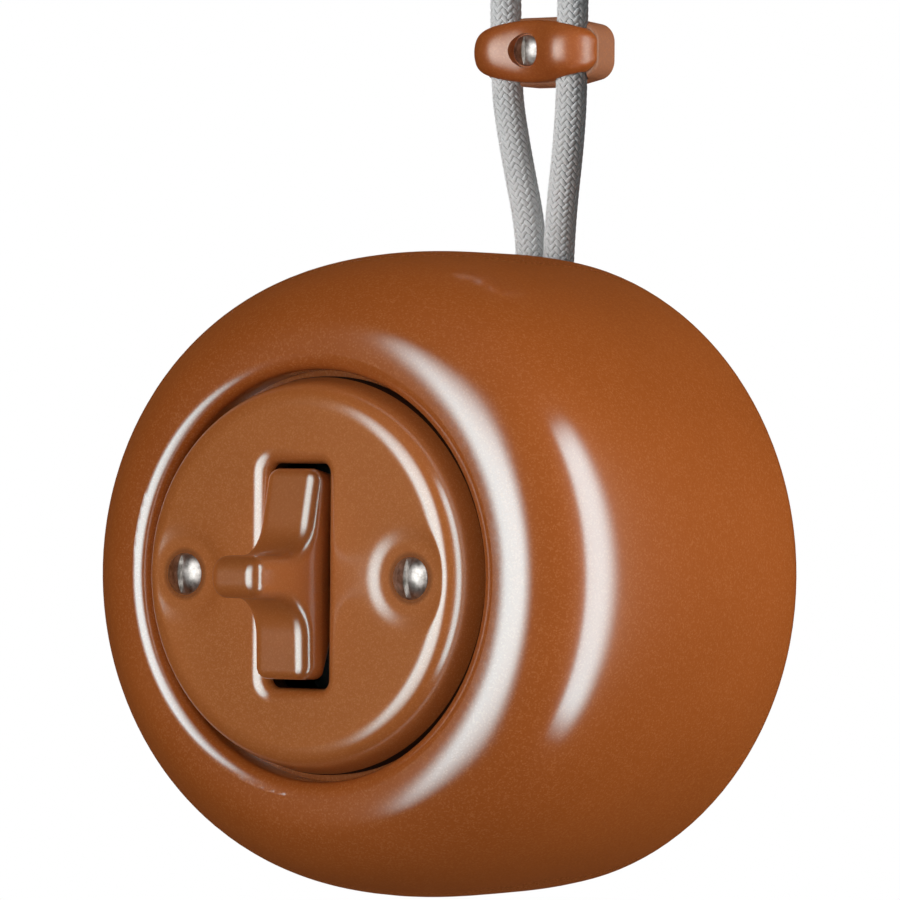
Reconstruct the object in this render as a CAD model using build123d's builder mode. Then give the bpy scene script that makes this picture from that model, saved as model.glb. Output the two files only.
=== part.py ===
"""A surface-mounted porcelain toggle switch, with its two braided cables and their cleat.

The wall is the plane Y = 0, +Z is up and the front of the switch faces -Y. A depth is a
distance out from the wall, so a point at depth d has Y = -d. The origin is the centre of the
housing's back face. All sizes are in millimetres.
"""
import os
from math import cos, radians, sin, tan

from build123d import *

os.makedirs("parts", exist_ok=True)

# Housing: a turned porcelain box with a closed back
BODY_RADIUS = 50.0
BELLY_DEPTH = 15.0
BACK_ROUND = 6.0
BACK_INSET = 0.4
BARREL_INSET = 1.0
BARREL_DROP = 21.0
SHOULDER_INSET = 7.0
SHOULDER_DROP = 4.7
BROW_INSET = 9.4
BROW_DROP = 2.35
CREST_DEPTH = 63.3
LIP_ROUND = 2.5
WALL = 6.0
FLOOR = 6.0
SEAT_WIDTH = 4.4
SEAT_THICK = 5.0
CAVITY_SHOULDER = 12.0
POST_SPREAD = 21.8
POST_RADIUS = 3.8
WALL_HOLE_SPREAD = 19.0
WALL_HOLE_RADIUS = 2.25

# Cover disc, standing proud of the housing's lip
COVER_RADIUS = 30.3
COVER_GAP = 0.8
COVER_PROUD = 3.6
COVER_HEIGHT = 9.5
COVER_THICK = 5.0
SKIRT_THICK = 3.2
BEVEL_WIDTH = 2.9
BEVEL_DROP = 2.0
BEVEL_SOFT = 5.0
FLANK_WIDTH = 1.4
FLANK_DROP = 6.0
FLANK_ROUND = 3.8
WINDOW_WIDTH = 11.1
WINDOW_HEIGHT = 33.8
WINDOW_CORNER = 1.5
WINDOW_RIM = 2.2
DIMPLE_RADIUS = 8.8
DIMPLE_FLAT = 3.4
DIMPLE_DEPTH = 1.0

# Toggle lever: a rocker with a nub, tilted at rest with its upper wing in
LEVER_TILT = 5.5
LEVER_WIDTH = 10.1
PIVOT_SINK = 3.6
WING_UP = 15.9
WING_DOWN = 16.1
WING_ROOT = 8.0
WING_SLOPE = 6.8
WING_BACK = 0.6
WING_LEAN = 0.5
WING_BACK_ROUND = 0.6
WING_END_ROUND = 1.6
HUB_BACK = 2.6
HUB_HALF = 4.5
NUB_HALF = 3.4
NUB_TIP_HALF = 3.1
NUB_REACH = 19.5
NUB_ROOT_ROUND = 6.0
NUB_TIP_ROUND = 2.7
NUB_TIP_WIDTH = 8.5
LEVER_EDGE_ROUND = 2.1
SIDE_FACING = 0.9
STEM_WIDTH = 6.4
STEM_REACH = 10.5
PIN_RADIUS = 0.9
PIN_LENGTH = 18.0
PIN_CLEARANCE = 0.05

# Sprung plunger in the lever's stem, measured back from the pivot
PLUNGER_RADIUS = 2.0
PLUNGER_TOP = 7.0
PLUNGER_SHOULDER = 13.0
PLUNGER_REACH = 17.0
PLUNGER_NOSE = 1.2
PLUNGER_CLEARANCE = 0.05
PLUNGER_BORE_TOP = 3.4
SPRING_RADIUS = 1.45
SPRING_WIRE = 0.22
SPRING_PITCH = 0.75
SPRING_SEAT = 0.05

# Strap, yoke and insulating base
STRAP_RISE = 3.4
STRAP_GAP = 0.9
STRAP_THICK = 1.2
STRAP_OPENING_WIDTH = 30.0
STRAP_OPENING_HEIGHT = 25.0
STRAP_CORNER = 2.0
YOKE_THICK = 1.0
YOKE_WIDTH = 17.0
YOKE_HEIGHT = 36.0
YOKE_OPENING_WIDTH = 13.6
YOKE_OPENING_HEIGHT = 20.0
YOKE_ARM_HEIGHT = 5.0
YOKE_TONGUE = 1.4
YOKE_COVER_GAP = 0.5
YOKE_PIN_GAP = 0.1
BASE_WIDTH = 32.0
BASE_HEIGHT = 34.8
BASE_DEPTH = 25.0
BASE_CORNER = 3.0
RIVET_SPREAD = 15.0
RIVET_RADIUS = 1.45
RIVET_CLEARANCE = 0.05
RIVET_HEAD_RADIUS = 2.4
RIVET_HEAD = 1.0
RIVET_REACH = 8.0

# Seesaw contact on its fulcrum
SEESAW_GAP = 0.3
SEESAW_TOP = 1.5
SEESAW_THICK = 1.0
SEESAW_HALF = 11.0
SEESAW_WIDTH = 6.4
SEESAW_ROOM = 1.5
FULCRUM_RADIUS = 0.8
FULCRUM_CLEARANCE = 0.05
FULCRUM_HEIGHT = 3.2
FULCRUM_FOOT = 3.6
CONTACT_SPREAD = 8.5
CONTACT_RADIUS = 1.5
MOVING_CONTACT = 0.8
CONTACT_GAP = 0.1

# Terminals: a contact arm and a clamping block each
ARM_THICK = 1.0
ARM_WIDTH = 3.2
CHAMBER_ROOM = 0.3
TERMINAL_NEAR = 8.0
TERMINAL_WIDTH = 7.0
TERMINAL_HEIGHT = 6.4
TERMINAL_FOOT = 6.4
TERMINAL_TOP = 2.6
WIRE_BORE_RADIUS = 1.4
WIRE_BORE_INSET = 2.0
WIRE_BORE_END = 1.0
TERMINAL_SCREW_RADIUS = 1.3
TERMINAL_SCREW_HEAD_RADIUS = 2.1
TERMINAL_SCREW_HEAD = 1.6
TERMINAL_SCREW_GAP = 0.1

# Fasteners of the cover and the strap
SCREW_SPREAD = 21.0
SCREW_RADIUS = 1.45
THREAD_RADIUS = 1.5
SCREW_HOLE_RADIUS = 1.9
SCREW_HEAD_RADIUS = 3.15
SCREW_HEAD_EDGE = 0.7
SCREW_HEAD_HEIGHT = 1.9
SCREW_SLOT_WIDTH = 0.9
SCREW_SLOT_DEPTH = 1.0
COVER_SCREW_PAST = 2.0
STRAP_SCREW_REACH = 8.0
STRAP_SCREW_HEAD_RADIUS = 2.7
STRAP_SCREW_HEAD_EDGE = 0.8
STRAP_SCREW_HEAD_HEIGHT = 1.8
INSERT_RADIUS = 2.4
INSERT_LENGTH = 11.0

# Cables: a braided jacket over an insulated core with stripped copper ends
CABLE_RADIUS = 2.5
CORE_RADIUS = 1.5
WIRE_RADIUS = 0.9
CORE_HOLE_RADIUS = 1.9
WIRE_END_GAP = 0.3
JACKET_CLEARANCE = 0.05
CORE_BARE = 5.0
CORE_LAY = 0.4
CORE_TURN = 2.5
CORE_STOP = 3.1
WIRE_BARE = 6.0
BEND_SHARE = 0.48
BEND_RUN = 5.0
NOTCH_LEFT = -4.2
NOTCH_RIGHT = 8.0
NOTCH_FLARE = 5.2
NOTCH_FLARE_TOP = 43.0
NOTCH_TOP = 7.4
NOTCH_ROUND = 2.0
NOTCH_BOTTOM = 30.0

# Cleat: a two-piece porcelain clamp above the housing
CLEAT_ACROSS = 1.6
CLEAT_HEIGHT = 82.1
CLEAT_PARTING = 5.2
CLEAT_PARTING_GAP = 0.3
CLEAT_LENGTH = 21.8
CLEAT_MIDDLE = 10.9
CLEAT_FLAT = 7.0
CLEAT_FLAT_ROUND = 4.0
CLEAT_END = 7.7
CLEAT_CORNER = 3.0
CLEAT_EDGE = 0.7
CLEAT_CHANNEL_SPREAD = 6.4
CLEAT_CHANNEL_CLEARANCE = 0.05
CLEAT_CAP_WALL = 0.35
CLEAT_HOLE_RADIUS = 1.8
CLEAT_SCREW_RADIUS = 1.7
CLEAT_SINK_RADIUS = 2.75
CLEAT_SINK_DEPTH = 8.3
CLEAT_HEAD_RADIUS = 2.4
CLEAT_HEAD_EDGE = 0.4
CLEAT_HEAD_HEIGHT = 1.2
CLEAT_SLOT_WIDTH = 0.8
CLEAT_SLOT_DEPTH = 0.7

# Cross-sections of the cleat's cap: place along it, half width and rise above the parting
CLEAT_CAP_SECTIONS = [
    (-11.1, 1.5, 0.9),
    (-10.4, 2.55, 2.7),
    (-8.5, 3.6, 4.8),
    (-5.8, 4.3, 5.6),
    (-2.9, 4.75, 4.6),
    (0.0, 4.9, 3.9),
    (2.9, 4.75, 4.6),
    (5.8, 4.3, 5.6),
    (8.5, 3.6, 4.8),
    (10.4, 2.55, 2.7),
    (11.1, 1.5, 0.9),
]

# Cable routes: across, depth and height of each point, chosen by hand
CABLE_LEFT_ROUTE = [
    (CLEAT_ACROSS - CLEAT_CHANNEL_SPREAD, CLEAT_PARTING, 96.0),
    (CLEAT_ACROSS - CLEAT_CHANNEL_SPREAD, CLEAT_PARTING, 74.0),
    (-0.5, 3.2, 52.0),
    (-0.9, 4.2, 43.0),
    (-5.0, 9.5, 31.0),
]
CABLE_RIGHT_ROUTE = [
    (CLEAT_ACROSS + CLEAT_CHANNEL_SPREAD, CLEAT_PARTING, 96.0),
    (CLEAT_ACROSS + CLEAT_CHANNEL_SPREAD, CLEAT_PARTING, 74.0),
    (4.75, 3.4, 56.0),
    (4.7, 4.2, 43.0),
    (8.8, 9.5, 31.0),
]
# Sizes worked out from the ones above
mouth_radius = COVER_RADIUS + COVER_GAP
crest_radius = mouth_radius + LIP_ROUND
back_radius = BODY_RADIUS - BACK_INSET
back_flat = back_radius - BACK_ROUND
throat_radius = mouth_radius - SEAT_WIDTH
cavity_radius = BODY_RADIUS - WALL
cover_face = CREST_DEPTH + COVER_PROUD
cover_back = cover_face - COVER_THICK
seat_depth = cover_face - COVER_HEIGHT
ledge_depth = seat_depth - SEAT_THICK
cavity_top = ledge_depth - CAVITY_SHOULDER
pivot_depth = cover_face - PIVOT_SINK
fulcrum_depth = pivot_depth - PLUNGER_REACH - SEESAW_GAP - SEESAW_TOP
strap_back = fulcrum_depth + STRAP_RISE
strap_front = strap_back + STRAP_THICK
strap_radius = throat_radius - STRAP_GAP
yoke_front = strap_front + YOKE_THICK
base_back = strap_back - BASE_DEPTH
arm_back = fulcrum_depth - FULCRUM_HEIGHT
terminal_back = arm_back - TERMINAL_FOOT
terminal_front = arm_back + TERMINAL_TOP
terminal_far = TERMINAL_NEAR + TERMINAL_WIDTH
wire_across = TERMINAL_NEAR + WIRE_BORE_INSET
tilt = radians(LEVER_TILT)
core_depth = FLOOR + CORE_LAY * (base_back - FLOOR)
core_turn = base_back - CORE_TURN
core_rise = core_turn - core_depth
core_stop = terminal_back - CORE_STOP

# Core routes: each goes on from its cable's last corner, in line with the cable's end, lies
# between the housing's floor and the base, and then turns into the base
CORE_LEFT_ROUTE = [
    (-7.05, 12.15, 25.0),
    (-wire_across, core_depth, core_rise),
    (-wire_across, core_turn, 0.0),
    (-wire_across, core_stop, 0.0),
]
CORE_RIGHT_ROUTE = [
    (10.85, 12.15, 25.0),
    (wire_across, core_depth, core_rise - CONTACT_SPREAD),
    (wire_across, core_turn, -CONTACT_SPREAD),
    (wire_across, core_stop, -CONTACT_SPREAD),
]

# Planes: radius and depth of a turned section, and depth and height of a side view
SECTION = Plane(origin=(0, 0, 0), x_dir=(1, 0, 0), z_dir=(0, 0, -1))
SIDE = Plane(origin=(0, 0, 0), x_dir=(0, -1, 0), z_dir=(-1, 0, 0))
LEVER_SIDE = Plane(origin=(0, -pivot_depth, 0), x_dir=(0, -cos(tilt), sin(tilt)), z_dir=(-1, 0, 0))
LEVER_AXIS = Plane(origin=(0, -pivot_depth, 0), x_dir=(1, 0, 0), z_dir=(0, -cos(tilt), sin(tilt)))
SEESAW_SIDE = Plane(origin=(0, -fulcrum_depth, 0), x_dir=(0, -cos(tilt), -sin(tilt)), z_dir=(-1, 0, 0))
SEESAW_FACE = Plane(origin=(0, -fulcrum_depth, 0), x_dir=(1, 0, 0), z_dir=(0, -cos(tilt), -sin(tilt)))


def facing(depth, across=0.0, height=0.0):
    """Plane parallel to the wall at a depth, facing out, with +X across and +Z up."""
    return Plane(origin=(across, -depth, height), x_dir=(1, 0, 0), z_dir=(0, -1, 0))


def axis_section(across, height):
    """Plane of radius and depth through an axis that stands out of the wall."""
    return Plane(origin=(across, 0, height), x_dir=(1, 0, 0), z_dir=(0, 0, -1))


def wing_front(height):
    """How far the front of a wing stands before the pivot, at a height on the lever."""
    return WING_ROOT - abs(height) * tan(radians(WING_SLOPE))


def block(across, depths, heights, mode=Mode.ADD):
    """Add or cut a block given by its limits across, in depth and in height."""
    place = (sum(across) / 2, -sum(depths) / 2, sum(heights) / 2)
    with Locations(place):
        Box(across[1] - across[0], depths[1] - depths[0], heights[1] - heights[0], mode=mode)


def rod(across, depths, height, radius, mode=Mode.ADD):
    """Add or cut a round rod that runs along the depth."""
    with Locations((across, -sum(depths) / 2, height)):
        Cylinder(radius, depths[1] - depths[0], rotation=(90, 0, 0), mode=mode)


def cross_rod(across, depth, height, radius, mode=Mode.ADD):
    """Add or cut a round rod that runs across, along X."""
    with Locations((sum(across) / 2, -depth, height)):
        Cylinder(radius, across[1] - across[0], rotation=(0, 90, 0), mode=mode)


def bend_radii(route):
    """Radius of the arc at each corner of a route, from the run that the arc may take up."""
    points = [Vector(across, -depth, height) for across, depth, height in route]
    radii = []
    for before, corner, after in zip(points, points[1:], points[2:]):
        run_in = corner - before
        run_out = after - corner
        half_turn = radians(run_in.get_angle(run_out)) / 2
        radii.append(min(BEND_SHARE * min(run_in.length, run_out.length), BEND_RUN) / tan(half_turn))
    return radii


def slotted_screw(across, height, seat, radius, head_radius, head_edge, head_height, end):
    """Add one screw along the depth: a domed head on its seat and a plain shank."""
    with BuildSketch(axis_section(across, height)) as half:
        with BuildLine():
            Polyline(
                (0, end),
                (radius, end),
                (radius, seat),
                (head_radius, seat),
                (head_radius, seat + head_edge),
            )
            TangentArc((0, seat + head_height), (head_radius, seat + head_edge), tangent=(1, 0))
            Line((0, seat + head_height), (0, end))
        make_face()
    revolve(half.sketch, axis=Axis((across, 0, height), (0, -1, 0)))


# Housing
with BuildPart() as housing:
    with BuildSketch(SECTION):
        with BuildLine():
            Line((0, 0), (back_flat, 0))
            CenterArc((back_flat, BACK_ROUND), BACK_ROUND, -90, 90)
            TangentArc((BODY_RADIUS, BELLY_DEPTH), (back_radius, BACK_ROUND), tangent=(0, -1))
            Spline(
                (BODY_RADIUS, BELLY_DEPTH),
                (BODY_RADIUS - BARREL_INSET, CREST_DEPTH - BARREL_DROP),
                (BODY_RADIUS - SHOULDER_INSET, CREST_DEPTH - SHOULDER_DROP),
                (BODY_RADIUS - BROW_INSET, CREST_DEPTH - BROW_DROP),
                (crest_radius, CREST_DEPTH),
                tangents=((0, 1), (-1, 0)),
            )
            CenterArc((crest_radius, CREST_DEPTH - LIP_ROUND), LIP_ROUND, 90, 90)
            Polyline(
                (mouth_radius, CREST_DEPTH - LIP_ROUND),
                (mouth_radius, seat_depth),
                (throat_radius, seat_depth),
                (throat_radius, ledge_depth),
                (cavity_radius, cavity_top),
                (cavity_radius, FLOOR),
                (0, FLOOR),
                (0, 0),
            )
        make_face()
    revolve(axis=Axis.Y)
    for side in (-1, 1):
        rod(0, (FLOOR / 2, strap_back), side * POST_SPREAD, POST_RADIUS)
        rod(0, (strap_back - INSERT_LENGTH, strap_back), side * POST_SPREAD, INSERT_RADIUS, Mode.SUBTRACT)
        rod(side * WALL_HOLE_SPREAD, (0, FLOOR), 0, WALL_HOLE_RADIUS, Mode.SUBTRACT)
    with BuildSketch(Plane.XY.offset(NOTCH_BOTTOM)):
        with BuildLine():
            FilletPolyline(
                (NOTCH_LEFT, 0),
                (NOTCH_LEFT, -NOTCH_TOP),
                (NOTCH_RIGHT, -NOTCH_TOP),
                (NOTCH_RIGHT, 0),
                radius=NOTCH_ROUND,
            )
            Line((NOTCH_RIGHT, 0), (NOTCH_LEFT, 0))
        make_face()
    extrude(amount=BODY_RADIUS - NOTCH_BOTTOM, mode=Mode.SUBTRACT)
    with BuildSketch(facing(0)):
        with BuildLine():
            Polyline(
                (NOTCH_LEFT, NOTCH_FLARE_TOP),
                (NOTCH_LEFT - NOTCH_FLARE, NOTCH_BOTTOM),
                (NOTCH_RIGHT + NOTCH_FLARE, NOTCH_BOTTOM),
                (NOTCH_RIGHT, NOTCH_FLARE_TOP),
                (NOTCH_LEFT, NOTCH_FLARE_TOP),
            )
        make_face()
    extrude(amount=FLOOR, mode=Mode.SUBTRACT)

# Threaded brass inserts in the posts
with BuildPart() as post_inserts:
    for side in (-1, 1):
        rod(0, (strap_back - INSERT_LENGTH, strap_back), side * POST_SPREAD, INSERT_RADIUS)
        rod(0, (strap_back - INSERT_LENGTH, strap_back), side * POST_SPREAD, THREAD_RADIUS, Mode.SUBTRACT)

# Cover disc: a hollow cap whose skirt stands on the housing's seat
with BuildPart() as cover_disc:
    with BuildSketch(SECTION):
        with BuildLine():
            flank_top = COVER_RADIUS - FLANK_WIDTH
            FilletPolyline(
                (0, cover_face),
                (flank_top - BEVEL_WIDTH, cover_face),
                (flank_top, cover_face - BEVEL_DROP),
                (COVER_RADIUS, cover_face - FLANK_DROP),
                (COVER_RADIUS, seat_depth),
                (COVER_RADIUS - SKIRT_THICK, seat_depth),
                (COVER_RADIUS - SKIRT_THICK, cover_back),
                (0, cover_back),
                radius=[BEVEL_SOFT, FLANK_ROUND, FLANK_ROUND, 0, 0, SKIRT_THICK / 2],
            )
            Line((0, cover_back), (0, cover_face))
        make_face()
    revolve(axis=Axis.Y)
    with BuildSketch(facing(cover_back)):
        RectangleRounded(WINDOW_WIDTH, WINDOW_HEIGHT, WINDOW_CORNER)
    extrude(amount=COVER_THICK, mode=Mode.SUBTRACT)
    rim = cover_disc.edges().filter_by_position(Axis.Y, -cover_face, -cover_face)
    rim = rim.filter_by(lambda edge: edge.center().length < cover_face + COVER_THICK)
    fillet(rim.filter_by(lambda edge: abs(edge.center().X) <= WINDOW_WIDTH / 2), WINDOW_RIM)
    for side in (-1, 1):
        with BuildSketch(axis_section(side * SCREW_SPREAD, 0)) as dimple:
            with BuildLine():
                Line((0, cover_face), (0, cover_face - DIMPLE_DEPTH))
                Line((0, cover_face - DIMPLE_DEPTH), (DIMPLE_FLAT, cover_face - DIMPLE_DEPTH))
                Spline(
                    (DIMPLE_FLAT, cover_face - DIMPLE_DEPTH),
                    (DIMPLE_RADIUS, cover_face),
                    tangents=((1, 0), (1, 0)),
                )
                Line((DIMPLE_RADIUS, cover_face), (0, cover_face))
            make_face()
        revolve(axis=Axis((side * SCREW_SPREAD, 0, 0), (0, -1, 0)), mode=Mode.SUBTRACT)
        rod(side * SCREW_SPREAD, (cover_back, cover_face), 0, SCREW_HOLE_RADIUS, Mode.SUBTRACT)
    pin_slot = PIN_RADIUS + PIN_CLEARANCE
    pin_span = (-PIN_LENGTH / 2 - CHAMBER_ROOM, PIN_LENGTH / 2 + CHAMBER_ROOM)
    cross_rod(pin_span, pivot_depth, 0, pin_slot, Mode.SUBTRACT)
    block(pin_span, (cover_back, pivot_depth), (-pin_slot, pin_slot), Mode.SUBTRACT)

# Cover screws, threaded into the strap
with BuildPart() as cover_screws:
    screw_seat = cover_face - DIMPLE_DEPTH
    for side in (-1, 1):
        slotted_screw(
            side * SCREW_SPREAD,
            0,
            screw_seat,
            SCREW_RADIUS,
            SCREW_HEAD_RADIUS,
            SCREW_HEAD_EDGE,
            SCREW_HEAD_HEIGHT,
            strap_back - COVER_SCREW_PAST,
        )
        head_top = screw_seat + SCREW_HEAD_HEIGHT
        block(
            (side * SCREW_SPREAD - SCREW_SLOT_WIDTH / 2, side * SCREW_SPREAD + SCREW_SLOT_WIDTH / 2),
            (head_top - SCREW_SLOT_DEPTH, head_top + SCREW_SLOT_DEPTH),
            (-SCREW_HEAD_RADIUS, SCREW_HEAD_RADIUS),
            Mode.SUBTRACT,
        )

# Toggle lever: rocker and nub from one side view, then the stem with the plunger's bore
with BuildPart() as toggle_lever:
    root_up = NUB_HALF * cos(tilt) - WING_ROOT * sin(tilt)
    root_down = -NUB_HALF * cos(tilt) - WING_ROOT * sin(tilt)
    tip_out = NUB_REACH * cos(tilt)
    tip_rise = -NUB_REACH * sin(tilt)
    with BuildSketch(LEVER_SIDE):
        with BuildLine():
            FilletPolyline(
                (wing_front(WING_UP), WING_UP),
                (wing_front(root_up), root_up),
                (tip_out + NUB_TIP_HALF * sin(tilt), tip_rise + NUB_TIP_HALF * cos(tilt)),
                (tip_out - NUB_TIP_HALF * sin(tilt), tip_rise - NUB_TIP_HALF * cos(tilt)),
                (wing_front(root_down), root_down),
                (wing_front(WING_DOWN), -WING_DOWN),
                (WING_BACK, WING_LEAN - WING_DOWN),
                (-HUB_BACK, -HUB_HALF),
                (-HUB_BACK, HUB_HALF),
                (WING_BACK, WING_UP - WING_LEAN),
                radius=[
                    WING_END_ROUND,
                    NUB_ROOT_ROUND,
                    NUB_TIP_ROUND,
                    NUB_TIP_ROUND,
                    NUB_ROOT_ROUND,
                    WING_END_ROUND,
                    WING_BACK_ROUND,
                    WING_BACK_ROUND,
                    WING_BACK_ROUND,
                    WING_BACK_ROUND,
                ],
                close=True,
            )
        make_face()
    extrude(amount=LEVER_WIDTH / 2, both=True)
    with BuildSketch(Plane.XY):
        with BuildLine():
            straight = Line((LEVER_WIDTH / 2, 0), (LEVER_WIDTH / 2, -pivot_depth - WING_ROOT))
            narrowing = TangentArc(
                straight @ 1,
                (NUB_TIP_WIDTH / 2, -pivot_depth - NUB_REACH),
                tangent=straight % 1,
            )
            Line(narrowing @ 1, (0, -pivot_depth - NUB_REACH))
            mirror(about=Plane.YZ)
            Line((-LEVER_WIDTH / 2, 0), (LEVER_WIDTH / 2, 0))
        make_face()
    extrude(amount=WING_DOWN + WING_END_ROUND, both=True, mode=Mode.INTERSECT)
    sides = toggle_lever.faces().filter_by(lambda face: abs(face.normal_at().X) > SIDE_FACING)
    rims = [edge for edge in sides.edges() if sum(edge in side.edges() for side in sides) == 1]
    fillet(rims, LEVER_EDGE_ROUND)
    with BuildSketch(LEVER_AXIS.offset(-STEM_REACH)):
        RectangleRounded(STEM_WIDTH, STEM_WIDTH, WING_BACK_ROUND)
    extrude(amount=STEM_REACH)
    with BuildSketch(LEVER_AXIS.offset(-STEM_REACH)):
        Circle(PLUNGER_RADIUS + PLUNGER_CLEARANCE)
    extrude(amount=STEM_REACH - PLUNGER_BORE_TOP, mode=Mode.SUBTRACT)
    cross_rod((-LEVER_WIDTH, LEVER_WIDTH), pivot_depth, 0, PIN_RADIUS, Mode.SUBTRACT)

# Pivot pin, carried in the slots behind the cover
with BuildPart() as pivot_pin:
    cross_rod((-PIN_LENGTH / 2, PIN_LENGTH / 2), pivot_depth, 0, PIN_RADIUS)

# Plunger: a turned brass piece with a rounded nose
with BuildPart() as plunger:
    with BuildSketch(Plane(origin=LEVER_AXIS.origin, x_dir=(1, 0, 0), z_dir=(0, sin(tilt), cos(tilt)))):
        with BuildLine():
            Polyline(
                (0, PLUNGER_TOP),
                (PLUNGER_RADIUS, PLUNGER_TOP),
                (PLUNGER_RADIUS, PLUNGER_SHOULDER),
                (PLUNGER_NOSE, PLUNGER_SHOULDER + PLUNGER_RADIUS - PLUNGER_NOSE),
                (PLUNGER_NOSE, PLUNGER_REACH - PLUNGER_NOSE),
            )
            CenterArc((0, PLUNGER_REACH - PLUNGER_NOSE), PLUNGER_NOSE, 0, 90)
            Line((0, PLUNGER_REACH), (0, PLUNGER_TOP))
        make_face()
    revolve(axis=Axis(LEVER_AXIS.origin, LEVER_AXIS.z_dir))

# Plunger spring, between the bore's end and the plunger
with BuildPart() as plunger_spring:
    spring_length = PLUNGER_TOP - PLUNGER_BORE_TOP - 2 * (SPRING_WIRE + SPRING_SEAT)
    spring_start = LEVER_AXIS.offset(-PLUNGER_TOP + SPRING_WIRE + SPRING_SEAT)
    with BuildLine():
        coil = Helix(SPRING_PITCH, spring_length, SPRING_RADIUS, spring_start.origin, spring_start.z_dir)
    with BuildSketch(Plane(origin=coil @ 0, z_dir=coil % 0)):
        Circle(SPRING_WIRE)
    sweep(is_frenet=True)

# Mounting strap: a steel ring plate on the posts
with BuildPart() as mounting_strap:
    with BuildSketch(facing(strap_back)):
        Circle(strap_radius)
        RectangleRounded(STRAP_OPENING_WIDTH, STRAP_OPENING_HEIGHT, STRAP_CORNER, mode=Mode.SUBTRACT)
        with Locations((-SCREW_SPREAD, 0), (SCREW_SPREAD, 0)):
            Circle(THREAD_RADIUS, mode=Mode.SUBTRACT)
        with Locations((0, -POST_SPREAD), (0, POST_SPREAD)):
            Circle(SCREW_HOLE_RADIUS, mode=Mode.SUBTRACT)
        with Locations((0, -RIVET_SPREAD), (0, RIVET_SPREAD)):
            Circle(RIVET_RADIUS + RIVET_CLEARANCE, mode=Mode.SUBTRACT)
    extrude(amount=STRAP_THICK)

# Strap screws, in the inserts
with BuildPart() as strap_screws:
    for side in (-1, 1):
        slotted_screw(
            0,
            side * POST_SPREAD,
            strap_front,
            SCREW_RADIUS,
            STRAP_SCREW_HEAD_RADIUS,
            STRAP_SCREW_HEAD_EDGE,
            STRAP_SCREW_HEAD_HEIGHT,
            strap_back - STRAP_SCREW_REACH,
        )
        head_top = strap_front + STRAP_SCREW_HEAD_HEIGHT
        block(
            (-STRAP_SCREW_HEAD_RADIUS, STRAP_SCREW_HEAD_RADIUS),
            (head_top - SCREW_SLOT_DEPTH, head_top + SCREW_SLOT_DEPTH),
            (side * POST_SPREAD - SCREW_SLOT_WIDTH / 2, side * POST_SPREAD + SCREW_SLOT_WIDTH / 2),
            Mode.SUBTRACT,
        )

# Pivot yoke: a pressed plate with two arms whose tongues keep the pin in its slots
with BuildPart() as pivot_yoke:
    with BuildSketch(facing(strap_front)):
        RectangleRounded(YOKE_WIDTH, YOKE_HEIGHT, STRAP_CORNER)
        Rectangle(YOKE_OPENING_WIDTH, YOKE_OPENING_HEIGHT, mode=Mode.SUBTRACT)
        with Locations((0, -RIVET_SPREAD), (0, RIVET_SPREAD)):
            Circle(RIVET_RADIUS + RIVET_CLEARANCE, mode=Mode.SUBTRACT)
    extrude(amount=YOKE_THICK)
    arm_end = cover_back - YOKE_COVER_GAP
    tongue_end = pivot_depth - PIN_RADIUS - YOKE_PIN_GAP
    for side in (-1, 1):
        arm_span = sorted((side * YOKE_OPENING_WIDTH / 2, side * (YOKE_OPENING_WIDTH / 2 + YOKE_THICK)))
        block(arm_span, (strap_front, arm_end), (-YOKE_ARM_HEIGHT / 2, YOKE_ARM_HEIGHT / 2))
        block(arm_span, (arm_end, tongue_end), (-YOKE_TONGUE / 2, YOKE_TONGUE / 2))

# Insulating base: a block with the seesaw's well and the terminals' chambers
with BuildPart() as switch_base:
    with BuildSketch(facing(base_back)):
        RectangleRounded(BASE_WIDTH, BASE_HEIGHT, BASE_CORNER)
    extrude(amount=BASE_DEPTH)
    well_half = SEESAW_WIDTH / 2 + SEESAW_ROOM
    well_reach = SEESAW_HALF + SEESAW_ROOM
    block((-well_half, well_half), (arm_back, strap_back), (-well_reach, well_reach), Mode.SUBTRACT)
    chamber_half = TERMINAL_HEIGHT / 2 + CHAMBER_ROOM
    arm_half = ARM_WIDTH / 2 + CHAMBER_ROOM
    for side, height in ((-1, 0), (1, -CONTACT_SPREAD), (1, CONTACT_SPREAD)):
        chamber = sorted((side * (TERMINAL_NEAR - CHAMBER_ROOM), side * BASE_WIDTH / 2))
        passage = sorted((0, side * TERMINAL_NEAR))
        chamber_heights = (height - chamber_half, height + chamber_half)
        block(chamber, (terminal_back, strap_back), chamber_heights, Mode.SUBTRACT)
        block(passage, (arm_back, strap_back), (height - arm_half, height + arm_half), Mode.SUBTRACT)
        rod(side * wire_across, (base_back, terminal_back), height, CORE_HOLE_RADIUS, Mode.SUBTRACT)
    for side in (-1, 1):
        rod(0, (strap_back - RIVET_REACH, strap_back), side * RIVET_SPREAD, RIVET_RADIUS, Mode.SUBTRACT)

# Rivets that hold the yoke, the strap and the base together
with BuildPart() as base_rivets:
    for side in (-1, 1):
        rod(0, (strap_back - RIVET_REACH, yoke_front), side * RIVET_SPREAD, RIVET_RADIUS)
        rod(0, (yoke_front, yoke_front + RIVET_HEAD), side * RIVET_SPREAD, RIVET_HEAD_RADIUS)
    fillet(base_rivets.edges().group_by(Axis.Y)[0], RIVET_HEAD / 2)

# Seesaw: a contact strip on a round fulcrum, tilted against the lever
with BuildPart() as contact_rocker:
    with BuildSketch(SEESAW_SIDE):
        with Locations((SEESAW_TOP - SEESAW_THICK / 2, 0)):
            RectangleRounded(SEESAW_THICK, 2 * SEESAW_HALF, SEESAW_THICK / 4)
        Circle(FULCRUM_RADIUS + FULCRUM_CLEARANCE, mode=Mode.SUBTRACT)
    extrude(amount=SEESAW_WIDTH / 2, both=True)

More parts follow.
